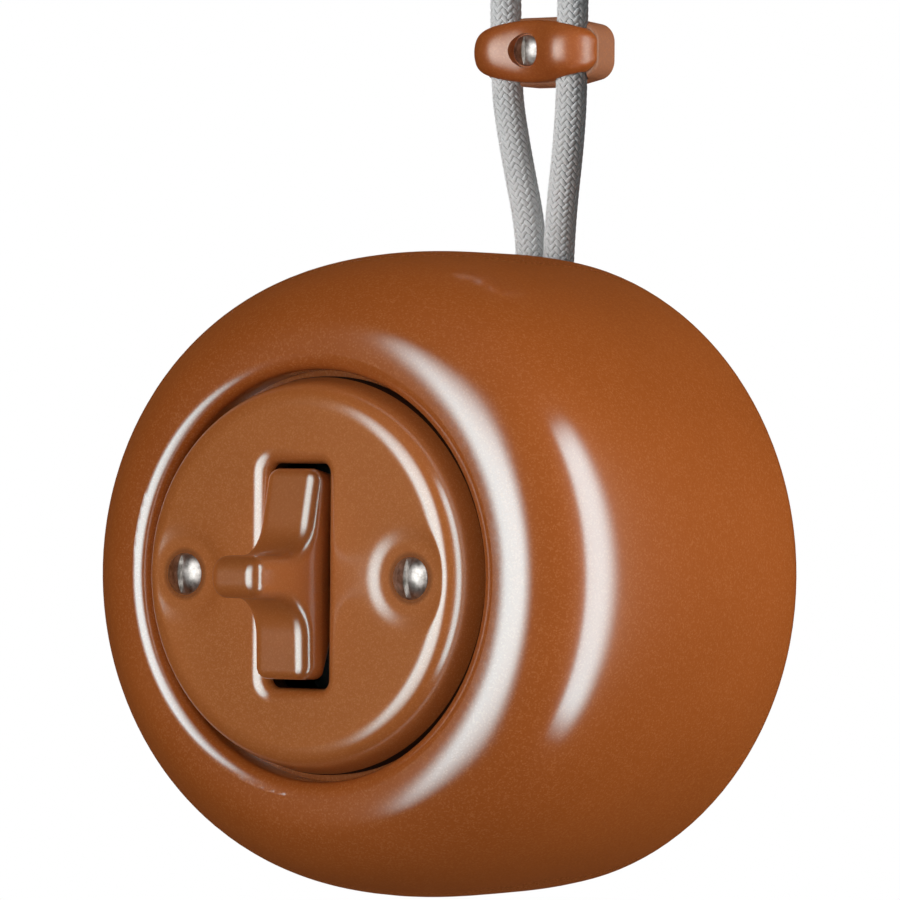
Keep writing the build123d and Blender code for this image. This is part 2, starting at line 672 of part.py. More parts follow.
# Silver tips under the seesaw's ends
with BuildPart() as moving_contacts:
    with BuildSketch(SEESAW_FACE.offset(SEESAW_TOP - SEESAW_THICK)):
        with Locations((0, -CONTACT_SPREAD), (0, CONTACT_SPREAD)):
            Circle(CONTACT_RADIUS)
    extrude(amount=-MOVING_CONTACT)

# Silver tips on the two contact arms
closed_drop = (MOVING_CONTACT - SEESAW_TOP + SEESAW_THICK) * cos(tilt)
closed_drop += (CONTACT_SPREAD + CONTACT_RADIUS) * sin(tilt)
with BuildPart() as fixed_contacts:
    for side in (-1, 1):
        tip_span = (arm_back + ARM_THICK, fulcrum_depth - closed_drop - CONTACT_GAP)
        rod(0, tip_span, side * CONTACT_SPREAD, CONTACT_RADIUS)


def terminal(side, height, arm_start):
    """Add one brass terminal: its contact arm, its clamping block and the block's bores."""
    body = sorted((side * TERMINAL_NEAR, side * terminal_far))
    arm = sorted((arm_start, side * TERMINAL_NEAR))
    block(arm, (arm_back, arm_back + ARM_THICK), (height - ARM_WIDTH / 2, height + ARM_WIDTH / 2))
    block(body, (terminal_back, terminal_front), (height - TERMINAL_HEIGHT / 2, height + TERMINAL_HEIGHT / 2))
    wire_bore = (terminal_back, terminal_front - WIRE_BORE_END)
    rod(side * wire_across, wire_bore, height, WIRE_BORE_RADIUS, Mode.SUBTRACT)
    screw_bore = sorted((side * wire_across, side * terminal_far))
    cross_rod(screw_bore, arm_back, height, TERMINAL_SCREW_RADIUS, Mode.SUBTRACT)


# Common terminal: its arm carries the seesaw's fulcrum
with BuildPart() as common_terminal:
    with BuildSketch(SIDE):
        with BuildLine():
            Polyline(
                (arm_back, -FULCRUM_FOOT / 2),
                (fulcrum_depth, -FULCRUM_RADIUS),
                (fulcrum_depth, FULCRUM_RADIUS),
                (arm_back, FULCRUM_FOOT / 2),
                (arm_back, -FULCRUM_FOOT / 2),
            )
        make_face()
        with Locations((fulcrum_depth, 0)):
            Circle(FULCRUM_RADIUS)
    extrude(amount=SEESAW_WIDTH / 2, both=True)
    terminal(-1, 0, 0)

# Terminals of the lower and the upper contact
with BuildPart() as lower_terminal:
    terminal(1, -CONTACT_SPREAD, -CONTACT_RADIUS)
with BuildPart() as upper_terminal:
    terminal(1, CONTACT_SPREAD, -CONTACT_RADIUS)

# Terminal screws, reached from the sides
with BuildPart() as terminal_screws:
    for side, height in ((-1, 0), (1, -CONTACT_SPREAD), (1, CONTACT_SPREAD)):
        screw_tip = wire_across + WIRE_RADIUS + TERMINAL_SCREW_GAP
        head_end = terminal_far + TERMINAL_SCREW_HEAD
        cross_rod(sorted((side * screw_tip, side * terminal_far)), arm_back, height, TERMINAL_SCREW_RADIUS)
        head = sorted((side * terminal_far, side * head_end))
        cross_rod(head, arm_back, height, TERMINAL_SCREW_HEAD_RADIUS)
        slot = sorted((side * (head_end - SCREW_SLOT_DEPTH), side * head_end))
        slot_heights = (height - TERMINAL_SCREW_HEAD_RADIUS, height + TERMINAL_SCREW_HEAD_RADIUS)
        slot_depths = (arm_back - SCREW_SLOT_WIDTH / 2, arm_back + SCREW_SLOT_WIDTH / 2)
        block(slot, slot_depths, slot_heights, Mode.SUBTRACT)



def core_route(cable, core):
    """Whole route of a core: it starts above its jacket's end and goes through it to the terminal."""
    across, depth, height = cable[0]
    return [(across, depth, height + CORE_BARE), *cable[1:-1], *core]


def tube(route, radius, bore=0.0):
    """Add a round tube or rod along straight runs joined by tangent arcs."""
    with BuildLine() as run:
        points = [(across, -depth, height) for across, depth, height in route]
        FilletPolyline(*points, radius=bend_radii(route))
    with BuildSketch(Plane(origin=run.line @ 0, z_dir=run.line % 0)) as ring:
        Circle(radius)
        if bore:
            Circle(bore, mode=Mode.SUBTRACT)
    sweep(ring.sketch, path=run.line)


# Braided jackets
jacket_bore = CORE_RADIUS + JACKET_CLEARANCE
with BuildPart() as cable_left:
    tube(CABLE_LEFT_ROUTE, CABLE_RADIUS, jacket_bore)
with BuildPart() as cable_right:
    tube(CABLE_RIGHT_ROUTE, CABLE_RADIUS, jacket_bore)

# Insulated cores, from above the jackets to the terminals
core_left_route = core_route(CABLE_LEFT_ROUTE, CORE_LEFT_ROUTE)
core_right_route = core_route(CABLE_RIGHT_ROUTE, CORE_RIGHT_ROUTE)
with BuildPart() as core_left:
    tube(core_left_route, CORE_RADIUS)
with BuildPart() as core_right:
    tube(core_right_route, CORE_RADIUS)


def bare_ends(route):
    """Add the two stripped copper ends of a core: one in its terminal and one at its top."""
    across, depth, height = route[-1]
    rod(across, (depth, terminal_front - WIRE_BORE_END - WIRE_END_GAP), height, WIRE_RADIUS)
    across, depth, height = route[0]
    with Locations((across, -depth, height + WIRE_BARE / 2)):
        Cylinder(WIRE_RADIUS, WIRE_BARE)


# Stripped copper ends
with BuildPart() as wire_end_left:
    bare_ends(core_left_route)
with BuildPart() as wire_end_right:
    bare_ends(core_right_route)

for name, route in (
    ("cable_left", CABLE_LEFT_ROUTE),
    ("cable_right", CABLE_RIGHT_ROUTE),
    ("core_left", core_left_route),
    ("core_right", core_right_route),
):
    print(name, "bend radii", [round(bend, 1) for bend in bend_radii(route)])

# Cleat base: an eye-shaped block with half-round channels for the cables
channel_radius = CABLE_RADIUS + CLEAT_CHANNEL_CLEARANCE
channel_top = CLEAT_HEIGHT + CLEAT_MIDDLE
channel_bottom = CLEAT_HEIGHT - CLEAT_MIDDLE
with BuildPart() as cleat_base:
    with BuildSketch(facing(0, CLEAT_ACROSS, CLEAT_HEIGHT)):
        with BuildLine():
            FilletPolyline(
                (CLEAT_FLAT / 2, CLEAT_MIDDLE / 2),
                (CLEAT_LENGTH / 2, CLEAT_END / 2),
                (CLEAT_LENGTH / 2, -CLEAT_END / 2),
                (CLEAT_FLAT / 2, -CLEAT_MIDDLE / 2),
                (-CLEAT_FLAT / 2, -CLEAT_MIDDLE / 2),
                (-CLEAT_LENGTH / 2, -CLEAT_END / 2),
                (-CLEAT_LENGTH / 2, CLEAT_END / 2),
                (-CLEAT_FLAT / 2, CLEAT_MIDDLE / 2),
                radius=[CLEAT_FLAT_ROUND, CLEAT_CORNER, CLEAT_CORNER, CLEAT_FLAT_ROUND] * 2,
                close=True,
            )
        make_face()
    extrude(amount=CLEAT_PARTING - CLEAT_PARTING_GAP / 2)
    fillet(cleat_base.faces().sort_by(Axis.Y)[0].edges(), CLEAT_EDGE)
    for side in (-1, 1):
        with Locations((CLEAT_ACROSS + side * CLEAT_CHANNEL_SPREAD, -CLEAT_PARTING, CLEAT_HEIGHT)):
            Cylinder(channel_radius, channel_top - channel_bottom, mode=Mode.SUBTRACT)
    rod(CLEAT_ACROSS, (0, CLEAT_PARTING), CLEAT_HEIGHT, CLEAT_HOLE_RADIUS, Mode.SUBTRACT)

# Cleat cap: lofted cross-sections with a hump over each cable and a saddle for the screw
cap_foot = CLEAT_PARTING + CLEAT_PARTING_GAP / 2
with BuildPart() as cleat_cap:
    for place, half, rise in CLEAT_CAP_SECTIONS:
        middle = (CLEAT_ACROSS + place, -cap_foot, CLEAT_HEIGHT)
        cut = Plane(origin=middle, x_dir=(0, 0, 1), z_dir=(1, 0, 0))
        with BuildSketch(cut):
            with BuildLine():
                side_rise = rise * CLEAT_CAP_WALL
                Line((-half, 0), (half, 0))
                Line((half, 0), (half, side_rise))
                EllipticalCenterArc((0, side_rise), half, rise - side_rise, start_angle=0, arc_size=180)
                Line((-half, side_rise), (-half, 0))
            make_face()
    loft()
    for side in (-1, 1):
        with Locations((CLEAT_ACROSS + side * CLEAT_CHANNEL_SPREAD, -CLEAT_PARTING, CLEAT_HEIGHT)):
            Cylinder(channel_radius, channel_top - channel_bottom, mode=Mode.SUBTRACT)
    cap_front = CLEAT_PARTING + max(rise for place, half, rise in CLEAT_CAP_SECTIONS)
    rod(CLEAT_ACROSS, (CLEAT_PARTING, cap_front), CLEAT_HEIGHT, CLEAT_HOLE_RADIUS, Mode.SUBTRACT)
    rod(CLEAT_ACROSS, (CLEAT_SINK_DEPTH, cap_front), CLEAT_HEIGHT, CLEAT_SINK_RADIUS, Mode.SUBTRACT)

# Cleat screw, cut off at the wall
with BuildPart() as cleat_screw:
    slotted_screw(
        CLEAT_ACROSS,
        CLEAT_HEIGHT,
        CLEAT_SINK_DEPTH,
        CLEAT_SCREW_RADIUS,
        CLEAT_HEAD_RADIUS,
        CLEAT_HEAD_EDGE,
        CLEAT_HEAD_HEIGHT,
        0,
    )
    head_top = CLEAT_SINK_DEPTH + CLEAT_HEAD_HEIGHT
    block(
        (CLEAT_ACROSS - CLEAT_SLOT_WIDTH / 2, CLEAT_ACROSS + CLEAT_SLOT_WIDTH / 2),
        (head_top - CLEAT_SLOT_DEPTH, head_top + CLEAT_SLOT_DEPTH),
        (CLEAT_HEIGHT - CLEAT_HEAD_RADIUS, CLEAT_HEIGHT + CLEAT_HEAD_RADIUS),
        Mode.SUBTRACT,
    )

pieces = {
    "housing": housing,
    "post_inserts": post_inserts,
    "cover_disc": cover_disc,
    "cover_screws": cover_screws,
    "toggle_lever": toggle_lever,
    "pivot_pin": pivot_pin,
    "plunger": plunger,
    "plunger_spring": plunger_spring,
    "mounting_strap": mounting_strap,
    "strap_screws": strap_screws,
    "pivot_yoke": pivot_yoke,
    "switch_base": switch_base,
    "base_rivets": base_rivets,
    "contact_rocker": contact_rocker,
    "moving_contacts": moving_contacts,
    "fixed_contacts": fixed_contacts,
    "common_terminal": common_terminal,
    "lower_terminal": lower_terminal,
    "upper_terminal": upper_terminal,
    "terminal_screws": terminal_screws,
    "cable_left": cable_left,
    "cable_right": cable_right,
    "core_left": core_left,
    "core_right": core_right,
    "wire_end_left": wire_end_left,
    "wire_end_right": wire_end_right,
    "cleat_base": cleat_base,
    "cleat_cap": cleat_cap,
    "cleat_screw": cleat_screw,
}
for name, piece in pieces.items():
    piece.part.label = name
    export_step(piece.part, f"parts/{name}.step")
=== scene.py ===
"""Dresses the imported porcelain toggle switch: glaze, metals, woven braid, light and camera.

Lengths are in metres in the part's own frame, unless a class says otherwise. The wall is the
plane Y = 0, +Z is up and the front of the switch faces -Y.
"""
import logging
import math
from collections.abc import Callable, Iterable
from dataclasses import dataclass, field, replace
from enum import Enum
from typing import Union

import bmesh
import bpy
from mathutils import Matrix, Vector


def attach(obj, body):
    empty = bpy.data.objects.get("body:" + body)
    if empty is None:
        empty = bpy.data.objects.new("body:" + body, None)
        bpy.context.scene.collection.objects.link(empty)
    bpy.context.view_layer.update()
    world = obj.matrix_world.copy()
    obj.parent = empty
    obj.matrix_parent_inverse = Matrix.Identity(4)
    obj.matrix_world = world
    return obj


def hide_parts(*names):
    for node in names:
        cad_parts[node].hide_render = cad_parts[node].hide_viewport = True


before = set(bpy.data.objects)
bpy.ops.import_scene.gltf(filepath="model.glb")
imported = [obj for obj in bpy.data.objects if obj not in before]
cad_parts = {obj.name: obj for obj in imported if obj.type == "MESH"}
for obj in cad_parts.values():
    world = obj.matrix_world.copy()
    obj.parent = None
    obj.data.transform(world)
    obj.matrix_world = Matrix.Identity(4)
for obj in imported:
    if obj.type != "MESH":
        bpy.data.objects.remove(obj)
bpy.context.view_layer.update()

LOG = logging.getLogger("toggle_switch")
FRAME_BODY = "frame"
MM_PER_M = 1000
# Smallest divisor that a direction may give
TINY = 1e-9
# Middle of a range from 0 to 1
MID = 0.5
MID_COLOUR = (MID, MID, MID)
BLACK = (0.0, 0.0, 0.0)
WHITE = (1.0, 1.0, 1.0)

Key = Union[str, int]
Pair = tuple[float, float]
Point = tuple[float, float, float]
Colour = tuple[float, float, float]


class Reach(Enum):
    """Which pieces a light reaches: only the chosen ones, or all but those."""

    ONLY = "INCLUDE"
    ALL_BUT = "EXCLUDE"


class Shine(Enum):
    """What a light panel is for: soft light, or a reflection in the gloss."""

    FILL = "fill"
    GLEAM = "gleam"


class Sock:
    """An output socket that can be used in Python expressions on values."""

    def __init__(self, graph: "Graph", socket: bpy.types.NodeSocket) -> None:
        """Keep the graph and the socket."""
        self.graph = graph
        self.socket = socket

    def maths(self, operation: str, *values: "Term") -> "Sock":
        """Add one Math node.

        Args:
            operation: the Math node's operation.
            values: its inputs, in order.

        Returns:
            The node's result.
        """
        return self.graph.node("ShaderNodeMath", {"operation": operation}, dict(enumerate(values)))

    def __add__(self, other: "Term") -> "Sock":
        """Sum of the two."""
        return self.maths("ADD", self, other)

    def __radd__(self, other: "Term") -> "Sock":
        """Sum of the two."""
        return self.maths("ADD", other, self)

    def __sub__(self, other: "Term") -> "Sock":
        """Difference of the two."""
        return self.maths("SUBTRACT", self, other)

    def __rsub__(self, other: "Term") -> "Sock":
        """Difference of the two, the other way round."""
        return self.maths("SUBTRACT", other, self)

    def __mul__(self, other: "Term") -> "Sock":
        """Product of the two."""
        return self.maths("MULTIPLY", self, other)

    def __rmul__(self, other: "Term") -> "Sock":
        """Product of the two."""
        return self.maths("MULTIPLY", other, self)

    def __truediv__(self, other: "Term") -> "Sock":
        """Quotient of the two."""
        return self.maths("DIVIDE", self, other)

    def __rtruediv__(self, other: "Term") -> "Sock":
        """Quotient of the two, the other way round."""
        return self.maths("DIVIDE", other, self)

    def __pow__(self, other: "Term") -> "Sock":
        """Power of the value."""
        return self.maths("POWER", self, other)

    def __rpow__(self, other: "Term") -> "Sock":
        """Power with the value as its exponent."""
        return self.maths("POWER", other, self)

    def __abs__(self) -> "Sock":
        """The value without its sign."""
        return self.maths("ABSOLUTE", self)

    def sine(self) -> "Sock":
        """Sine of the value."""
        return self.maths("SINE", self)

    def clip(self) -> "Sock":
        """The value held between 0 and 1."""
        return self.maths("MINIMUM", self.maths("MAXIMUM", self, 0.0), 1.0)

    def eased(self) -> "Sock":
        """The value from 0 to 1, eased at both ends."""
        return self * self * (3.0 - 2.0 * self)


Term = Union[Sock, float]
Input = Union[Sock, float, tuple[float, ...]]


class Graph:
    """A node tree, and the one way in which nodes are added to it."""

    def __init__(self, tree: bpy.types.NodeTree) -> None:
        """Start with an empty tree."""
        self.tree = tree
        tree.nodes.clear()

    @staticmethod
    def pick(sockets: bpy.types.bpy_prop_collection, key: Key) -> bpy.types.NodeSocket:
        """Find a socket.

        Args:
            sockets: a node's inputs or outputs.
            key: the socket's place, identifier or name.

        Returns:
            The socket.
        """
        if isinstance(key, int):
            return sockets[key]
        return next(s for s in sockets if key in (s.identifier, s.name))

    def node(
        self,
        kind: str,
        settings: dict[str, str] | None = None,
        sockets: dict[Key, Input] | None = None,
        out: Key = 0,
    ) -> Sock | None:
        """Add any node.

        Args:
            kind: the node's type.
            settings: its properties.
            sockets: a value or a link for each input.
            out: the output that is returned.

        Returns:
            The chosen output, if the node has any.
        """
        made = self.tree.nodes.new(kind)
        for key, value in (settings or {}).items():
            setattr(made, key, value)
        for key, value in (sockets or {}).items():
            target = self.pick(made.inputs, key)
            if isinstance(value, Sock):
                self.tree.links.new(value.socket, target)
            else:
                target.default_value = value
        return Sock(self, self.pick(made.outputs, out)) if len(made.outputs) else None

    def place(self) -> Sock:
        """Coordinates of the piece itself, in metres."""
        return self.node("ShaderNodeTexCoord", None, None, "Object")

    def axis(self, vector: Sock, name: str) -> Sock:
        """The X, Y or Z of a vector."""
        return self.node("ShaderNodeSeparateXYZ", None, {0: vector}, name)

    def vector(self, operation: str, sockets: dict[Key, Input]) -> Sock:
        """Add one Vector Math node."""
        return self.node("ShaderNodeVectorMath", {"operation": operation}, sockets)

    def noise(self, place: Sock, scale: float, detail: float = 2.0, rough: float = 0.5) -> Sock:
        """Cloudy values between 0 and 1."""
        sockets = {"Vector": place, "Scale": scale, "Detail": detail, "Roughness": rough}
        return self.node("ShaderNodeTexNoise", None, sockets)

    def mix(self, share: Term, first: Union[Sock, Colour], second: Union[Sock, Colour]) -> Sock:
        """Blend two colours.

        Args:
            share: share of the second colour.
            first: the first colour.
            second: the second colour.

        Returns:
            The blend.
        """
        ends = [c if isinstance(c, Sock) else (*c, 1.0) for c in (first, second)]
        sockets = {"Factor_Float": share, "A_Color": ends[0], "B_Color": ends[1]}
        return self.node("ShaderNodeMix", {"data_type": "RGBA"}, sockets, "Result_Color")

    def bump(self, height: Sock, distance: float, strength: float) -> Sock:
        """Normal of a small relief."""
        sockets = {"Strength": strength, "Distance": distance, "Height": height}
        return self.node("ShaderNodeBump", None, sockets)

    def principled(self, sockets: dict[Key, Input]) -> Sock:
        """Add the main surface shader."""
        return self.node("ShaderNodeBsdfPrincipled", None, sockets)

    def finish(self, shader: Sock) -> None:
        """Join the shader to the material's output."""
        self.node("ShaderNodeOutputMaterial", None, {"Surface": shader})


def new_material(name: str) -> tuple[bpy.types.Material, Graph]:
    """Make a material with an empty graph.

    Args:
        name: the material's name.

    Returns:
        The material and its graph.
    """
    made = bpy.data.materials.new(name)
    made.use_nodes = True
    return made, Graph(made.node_tree)


def add_object(name: str, data: bpy.types.ID) -> bpy.types.Object:
    """Put new data into the scene.

    Args:
        name: the object's name.
        data: its mesh, light or camera.

    Returns:
        The object.
    """
    made = bpy.data.objects.new(name, data)
    bpy.context.scene.collection.objects.link(made)
    return made


def stand(spot: Vector, way: Vector) -> Matrix:
    """Place at a spot with its Z axis along a direction."""
    return Matrix.Translation(spot) @ way.to_track_quat("Z", "Y").to_matrix().to_4x4()


def limit_light(light: bpy.types.Object, pieces: Iterable[bpy.types.Object], reach: Reach) -> None:
    """Limit the pieces that a light reaches.

    Args:
        light: the lamp or glowing panel.
        pieces: the chosen pieces.
        reach: whether it reaches only these or all but these.
    """
    group = bpy.data.collections.new(light.name + "_reach")
    for piece in pieces:
        group.objects.link(piece)
    for entry in group.collection_objects:
        entry.light_linking.link_state = reach.value
    light.light_linking.receiver_collection = group


@dataclass(frozen=True)
class Finish:
    """A named surface finish."""

    name: str

    def material(self) -> bpy.types.Material:
        """Make the finish as a material, once.

        Returns:
            The material.
        """
        known = bpy.data.materials.get(self.name)
        if known:
            return known
        made, graph = new_material(self.name)
        graph.finish(self.shader(graph))
        return made

    def shader(self, graph: Graph) -> Sock:
        """Build the finish's shader."""
        raise NotImplementedError


@dataclass(frozen=True)
class CopperGlaze(Finish):
    """Satin glaze on porcelain, filled with fine copper-coloured flakes.

    The coat is its clear gloss, which is thinner on a worn flat front. A dark ring of painted
    shadow lies round each of two screw heads, at a set distance left and right of the middle.
    """

    deep: Colour = (0.335, 0.080, 0.011)
    warm: Colour = (0.425, 0.108, 0.0185)
    flake: Colour = (0.6, 0.22, 0.07)
    roughness: float = 0.42
    depth_gloss: float = 0.035
    coat: float = 0.9
    coat_roughness: float = 0.15
    coat_ior: float = 2.0
    metallic: float = 0.04
    cloud_scale: float = 26.0
    cloud_detail: float = 3.0
    cloud_gain: float = 1.6
    cloud_start: float = 0.3
    cloud_dulling: float = 0.08
    grain_scale: float = 2600.0
    grain_detail: float = 1.0
    grain_start: float = 0.35
    grain_share: float = 0.5
    flake_scale: float = 4300.0
    flake_start: float = 0.6
    flake_gain: float = 2.5
    flake_share: float = 0.34
    tilt: float = 0.05
    worn: float = 0.0
    flat_start: float = 0.986
    flat_range: float = 0.014
    # Painted shadow: a dark ring round each screw head, in the dimple's shade.
    screw_shadow_spread: float = 0.0
    screw_shadow_reach: float = 0.0042
    screw_shadow_soft: float = 0.0006
    screw_shadow_share: float = 0.6
    screw_shadow_colour: Colour = (0.13, 0.033, 0.006)

    def painted_screw_shadow(self, graph: Graph, place: Sock) -> Sock:
        """Find the ring of painted shadow round each screw head, where its dimple falls in shade.

        Args:
            graph: the material's graph.
            place: coordinates of the piece.

        Returns:
            The painted shadow's share.
        """
        across = abs(graph.axis(place, "X")) - self.screw_shadow_spread
        height = graph.axis(place, "Z")
        away = (across * across + height * height) ** 0.5
        return self.screw_shadow_share * ((self.screw_shadow_reach - away) / self.screw_shadow_soft).clip()

    def flats(self, graph: Graph) -> Sock:
        """Share of the flat front, which hands have dulled."""
        ahead = graph.axis(graph.node("ShaderNodeTexCoord", None, None, "Normal"), "Y") * -1.0
        return ((ahead - self.flat_start) / self.flat_range).clip()

    def facing(self, graph: Graph, flakes: Sock) -> Sock:
        """Lean the surface a little at each flake.

        Args:
            graph: the material's graph.
            flakes: a random colour for each flake.

        Returns:
            The normal.
        """
        lean = graph.vector("SUBTRACT", {0: flakes, 1: MID_COLOUR})
        lean = graph.vector("SCALE", {0: lean, "Scale": self.tilt})
        normal = graph.node("ShaderNodeNewGeometry", None, None, "Normal")
        return graph.vector("NORMALIZE", {0: graph.vector("ADD", {0: normal, 1: lean})})

    def shader(self, graph: Graph) -> Sock:
        """Build mottled colour, fine sparkling flakes and a satin gloss.

        Args:
            graph: the material's graph.

        Returns:
            The shader.
        """
        place = graph.place()
        cloud = graph.noise(place, self.cloud_scale, self.cloud_detail)
        grain = graph.noise(place, self.grain_scale, self.grain_detail)
        cells = {"Vector": place, "Scale": self.flake_scale}
        flakes = graph.node("ShaderNodeTexVoronoi", None, cells, "Color")
        red = graph.node("ShaderNodeSeparateColor", None, {"Color": flakes}, "Red")
        sparkle = ((red - self.flake_start) * self.flake_gain).clip()
        warmth = (cloud * self.cloud_gain - self.cloud_start).clip()
        body = graph.mix(warmth, self.deep, self.warm)
        toned = graph.mix(sparkle * self.flake_share, body, self.flake)
        colour = graph.mix((grain - self.grain_start).clip() * self.grain_share, toned, self.deep)
        # Painted shadow round the two screw heads.
        if self.screw_shadow_spread:
            colour = graph.mix(self.painted_screw_shadow(graph, place), colour, self.screw_shadow_colour)
        coat = self.coat
        if self.worn:
            coat = self.coat * (1.0 - self.worn * self.flats(graph))
        sockets = {
            "Base Color": colour,
            "Metallic": self.metallic,
            "Roughness": (self.roughness + self.cloud_dulling * (cloud - MID)).clip(),
            "Specular IOR Level": self.depth_gloss,
            "Coat Weight": coat,
            "Coat Roughness": self.coat_roughness,
            "Coat IOR": self.coat_ior,
            "Normal": self.facing(graph, flakes),
        }
        return graph.principled(sockets)


@dataclass(frozen=True)
class WorkedMetal(Finish):
    """Bare or plated metal with fine working marks and a little tarnish."""

    bright: Colour = (0.6, 0.58, 0.55)
    dull: Colour = (0.4, 0.38, 0.35)
    roughness: float = 0.26
    marks: Point = (900.0, 900.0, 6000.0)
    marks_detail: float = 3.0
    marks_rough: float = 0.6
    marks_dulling: float = 0.18
    relief: float = 0.35
    relief_depth: float = 0.00002
    cloud_scale: float = 420.0
    cloud_detail: float = 4.0
    cloud_rough: float = 0.6
    cloud_gain: float = 3.0
    cloud_start: float = 1.0
    cloud_dulling: float = 0.14

    def shader(self, graph: Graph) -> Sock:
        """Build streaks along one axis and cloudy tarnish.

        Args:
            graph: the material's graph.

        Returns:
            The shader.
        """
        place = graph.place()
        drawn = graph.vector("MULTIPLY", {0: place, 1: self.marks})
        streak = graph.noise(drawn, 1.0, self.marks_detail, self.marks_rough)
        cloud = graph.noise(place, self.cloud_scale, self.cloud_detail, self.cloud_rough)
        shine = (cloud * self.cloud_gain - self.cloud_start).clip()
        rough = self.roughness + self.marks_dulling * (streak - MID)
        rough = rough + self.cloud_dulling * (cloud - MID)
        sockets = {
            "Base Color": graph.mix(shine, self.dull, self.bright),
            "Metallic": 1.0,
            "Roughness": rough.clip(),
            "Normal": graph.bump(streak, self.relief_depth, self.relief),
        }
        return graph.principled(sockets)


@dataclass(frozen=True)
class MouldedResin(Finish):
    """Dark moulded resin with a faint speckle and moulding grain."""

    base: Colour = (0.022, 0.015, 0.011)
    speck: Colour = (0.075, 0.05, 0.032)
    roughness: float = 0.42
    gloss: float = 0.5
    speck_scale: float = 2200.0
    speck_rough: float = 0.7
    speck_start: float = 0.52
    speck_gain: float = 4.0
    grain_scale: float = 5200.0
    grain_depth: float = 0.00003
    grain_relief: float = 0.3
    cloud_scale: float = 160.0
    cloud_dulling: float = 0.2

    def shader(self, graph: Graph) -> Sock:
        """Build a speckled colour and a fine grain.

        Args:
            graph: the material's graph.

        Returns:
            The shader.
        """
        place = graph.place()
        speck = graph.noise(place, self.speck_scale, rough=self.speck_rough)
        grain = graph.noise(place, self.grain_scale)
        cloud = graph.noise(place, self.cloud_scale)
        share = ((speck - self.speck_start) * self.speck_gain).clip()
        sockets = {
            "Base Color": graph.mix(share, self.base, self.speck),
            "Roughness": (self.roughness + self.cloud_dulling * (cloud - MID)).clip(),
            "Specular IOR Level": self.gloss,
            "Normal": graph.bump(grain, self.grain_depth, self.grain_relief),
        }
        return graph.principled(sockets)


@dataclass(frozen=True)
class BraidYarn(Finish):
    """Matt spun yarn of the cable braid, with its filaments and loose dust."""

    light: Colour = (0.82, 0.83, 0.83)
    shade: Colour = (0.56, 0.565, 0.565)
    filaments: float = 5.0
    fuzz_scale: float = 9000.0
    fuzz_rough: float = 0.7
    cloud_scale: float = 260.0
    tone: float = 0.55
    ridge_tone: float = 0.18
    fuzz_tone: float = 0.5
    cloud_tone: float = 0.3
    roughness: float = 0.84
    fuzz_dulling: float = 0.2
    gloss: float = 0.25
    sheen: float = 0.25
    sheen_roughness: float = 0.5
    relief: float = 0.5
    relief_depth: float = 0.00002

    def shader(self, graph: Graph) -> Sock:
        """Build filaments along each strand, in two close greys.

        Args:
            graph: the material's graph.

        Returns:
            The shader.
        """
        place = graph.place()
        across = graph.node("ShaderNodeAttribute", {"attribute_name": "across"}, None, "Fac")
        ridge = (across * (self.filaments * math.tau)).sine()
        fuzz = graph.noise(place, self.fuzz_scale, rough=self.fuzz_rough)
        cloud = graph.noise(place, self.cloud_scale)
        tone = self.tone + self.ridge_tone * ridge
        tone = tone + self.fuzz_tone * (fuzz - MID)
        tone = tone + self.cloud_tone * (cloud - MID)
        sockets = {
            "Base Color": graph.mix(tone.clip(), self.shade, self.light),
            "Roughness": (self.roughness + self.fuzz_dulling * (fuzz - MID)).clip(),
            "Specular IOR Level": self.gloss,
            "Sheen Weight": self.sheen,
            "Sheen Roughness": self.sheen_roughness,
            "Normal": graph.bump(ridge + fuzz, self.relief_depth, self.relief),
        }
        return graph.principled(sockets)


GLAZE = CopperGlaze("copper_glaze")
# Lighter than the housing's glaze: painted light, which stands in for more light on the cover's and
# the lever's front.
COVER_GLAZE = CopperGlaze(
    "cover_glaze",
    deep=(0.385, 0.112, 0.022),
    warm=(0.503, 0.151, 0.037),
    flake=(0.6, 0.235, 0.08),
    coat=0.78,
    coat_roughness=0.18,
    worn=0.6,
    flake_scale=5200.0,
    flake_share=0.42,
    # Puts the rings of painted shadow round the screw heads.
    screw_shadow_spread=0.021,
)
LEVER_GLAZE = replace(COVER_GLAZE, name="lever_glaze", screw_shadow_spread=0.0, flake_share=0.3)
SATIN_GLAZE = CopperGlaze(
    "satin_cleat_glaze",
    deep=(0.34, 0.078, 0.01),
    warm=(0.44, 0.108, 0.017),
    coat=0.4,
    coat_roughness=0.3,
    depth_gloss=0.1,
)
MATT_GLAZE = CopperGlaze(
    "matt_cleat_glaze",
    deep=(0.34, 0.13, 0.06),
    warm=(0.42, 0.17, 0.085),
    coat=0.05,
    coat_roughness=0.45,
    depth_gloss=0.2,
)
NICKEL = WorkedMetal(
    "nickel_plate",
    (0.78, 0.76, 0.73),
    (0.28, 0.265, 0.245),
    0.38,
    marks=(2600.0, 2600.0, 500.0),
    relief=1.0,
    cloud_scale=900.0,
)
STEEL = WorkedMetal("zinc_plated_steel", (0.55, 0.56, 0.58), (0.4, 0.41, 0.42), 0.34)
DARK_STEEL = WorkedMetal("blackened_steel", (0.1, 0.095, 0.09), (0.06, 0.056, 0.052), 0.5)
BRASS = WorkedMetal("bare_brass", (0.72, 0.52, 0.2), (0.5, 0.33, 0.12), 0.3)
SILVER = WorkedMetal("contact_silver", (0.82, 0.8, 0.77), (0.6, 0.58, 0.55), 0.22)
COPPER = WorkedMetal(
    "bare_copper", (0.78, 0.38, 0.22), (0.55, 0.24, 0.13), 0.28, marks=(6000.0, 6000.0, 900.0)
)
RESIN = MouldedResin("dark_resin")
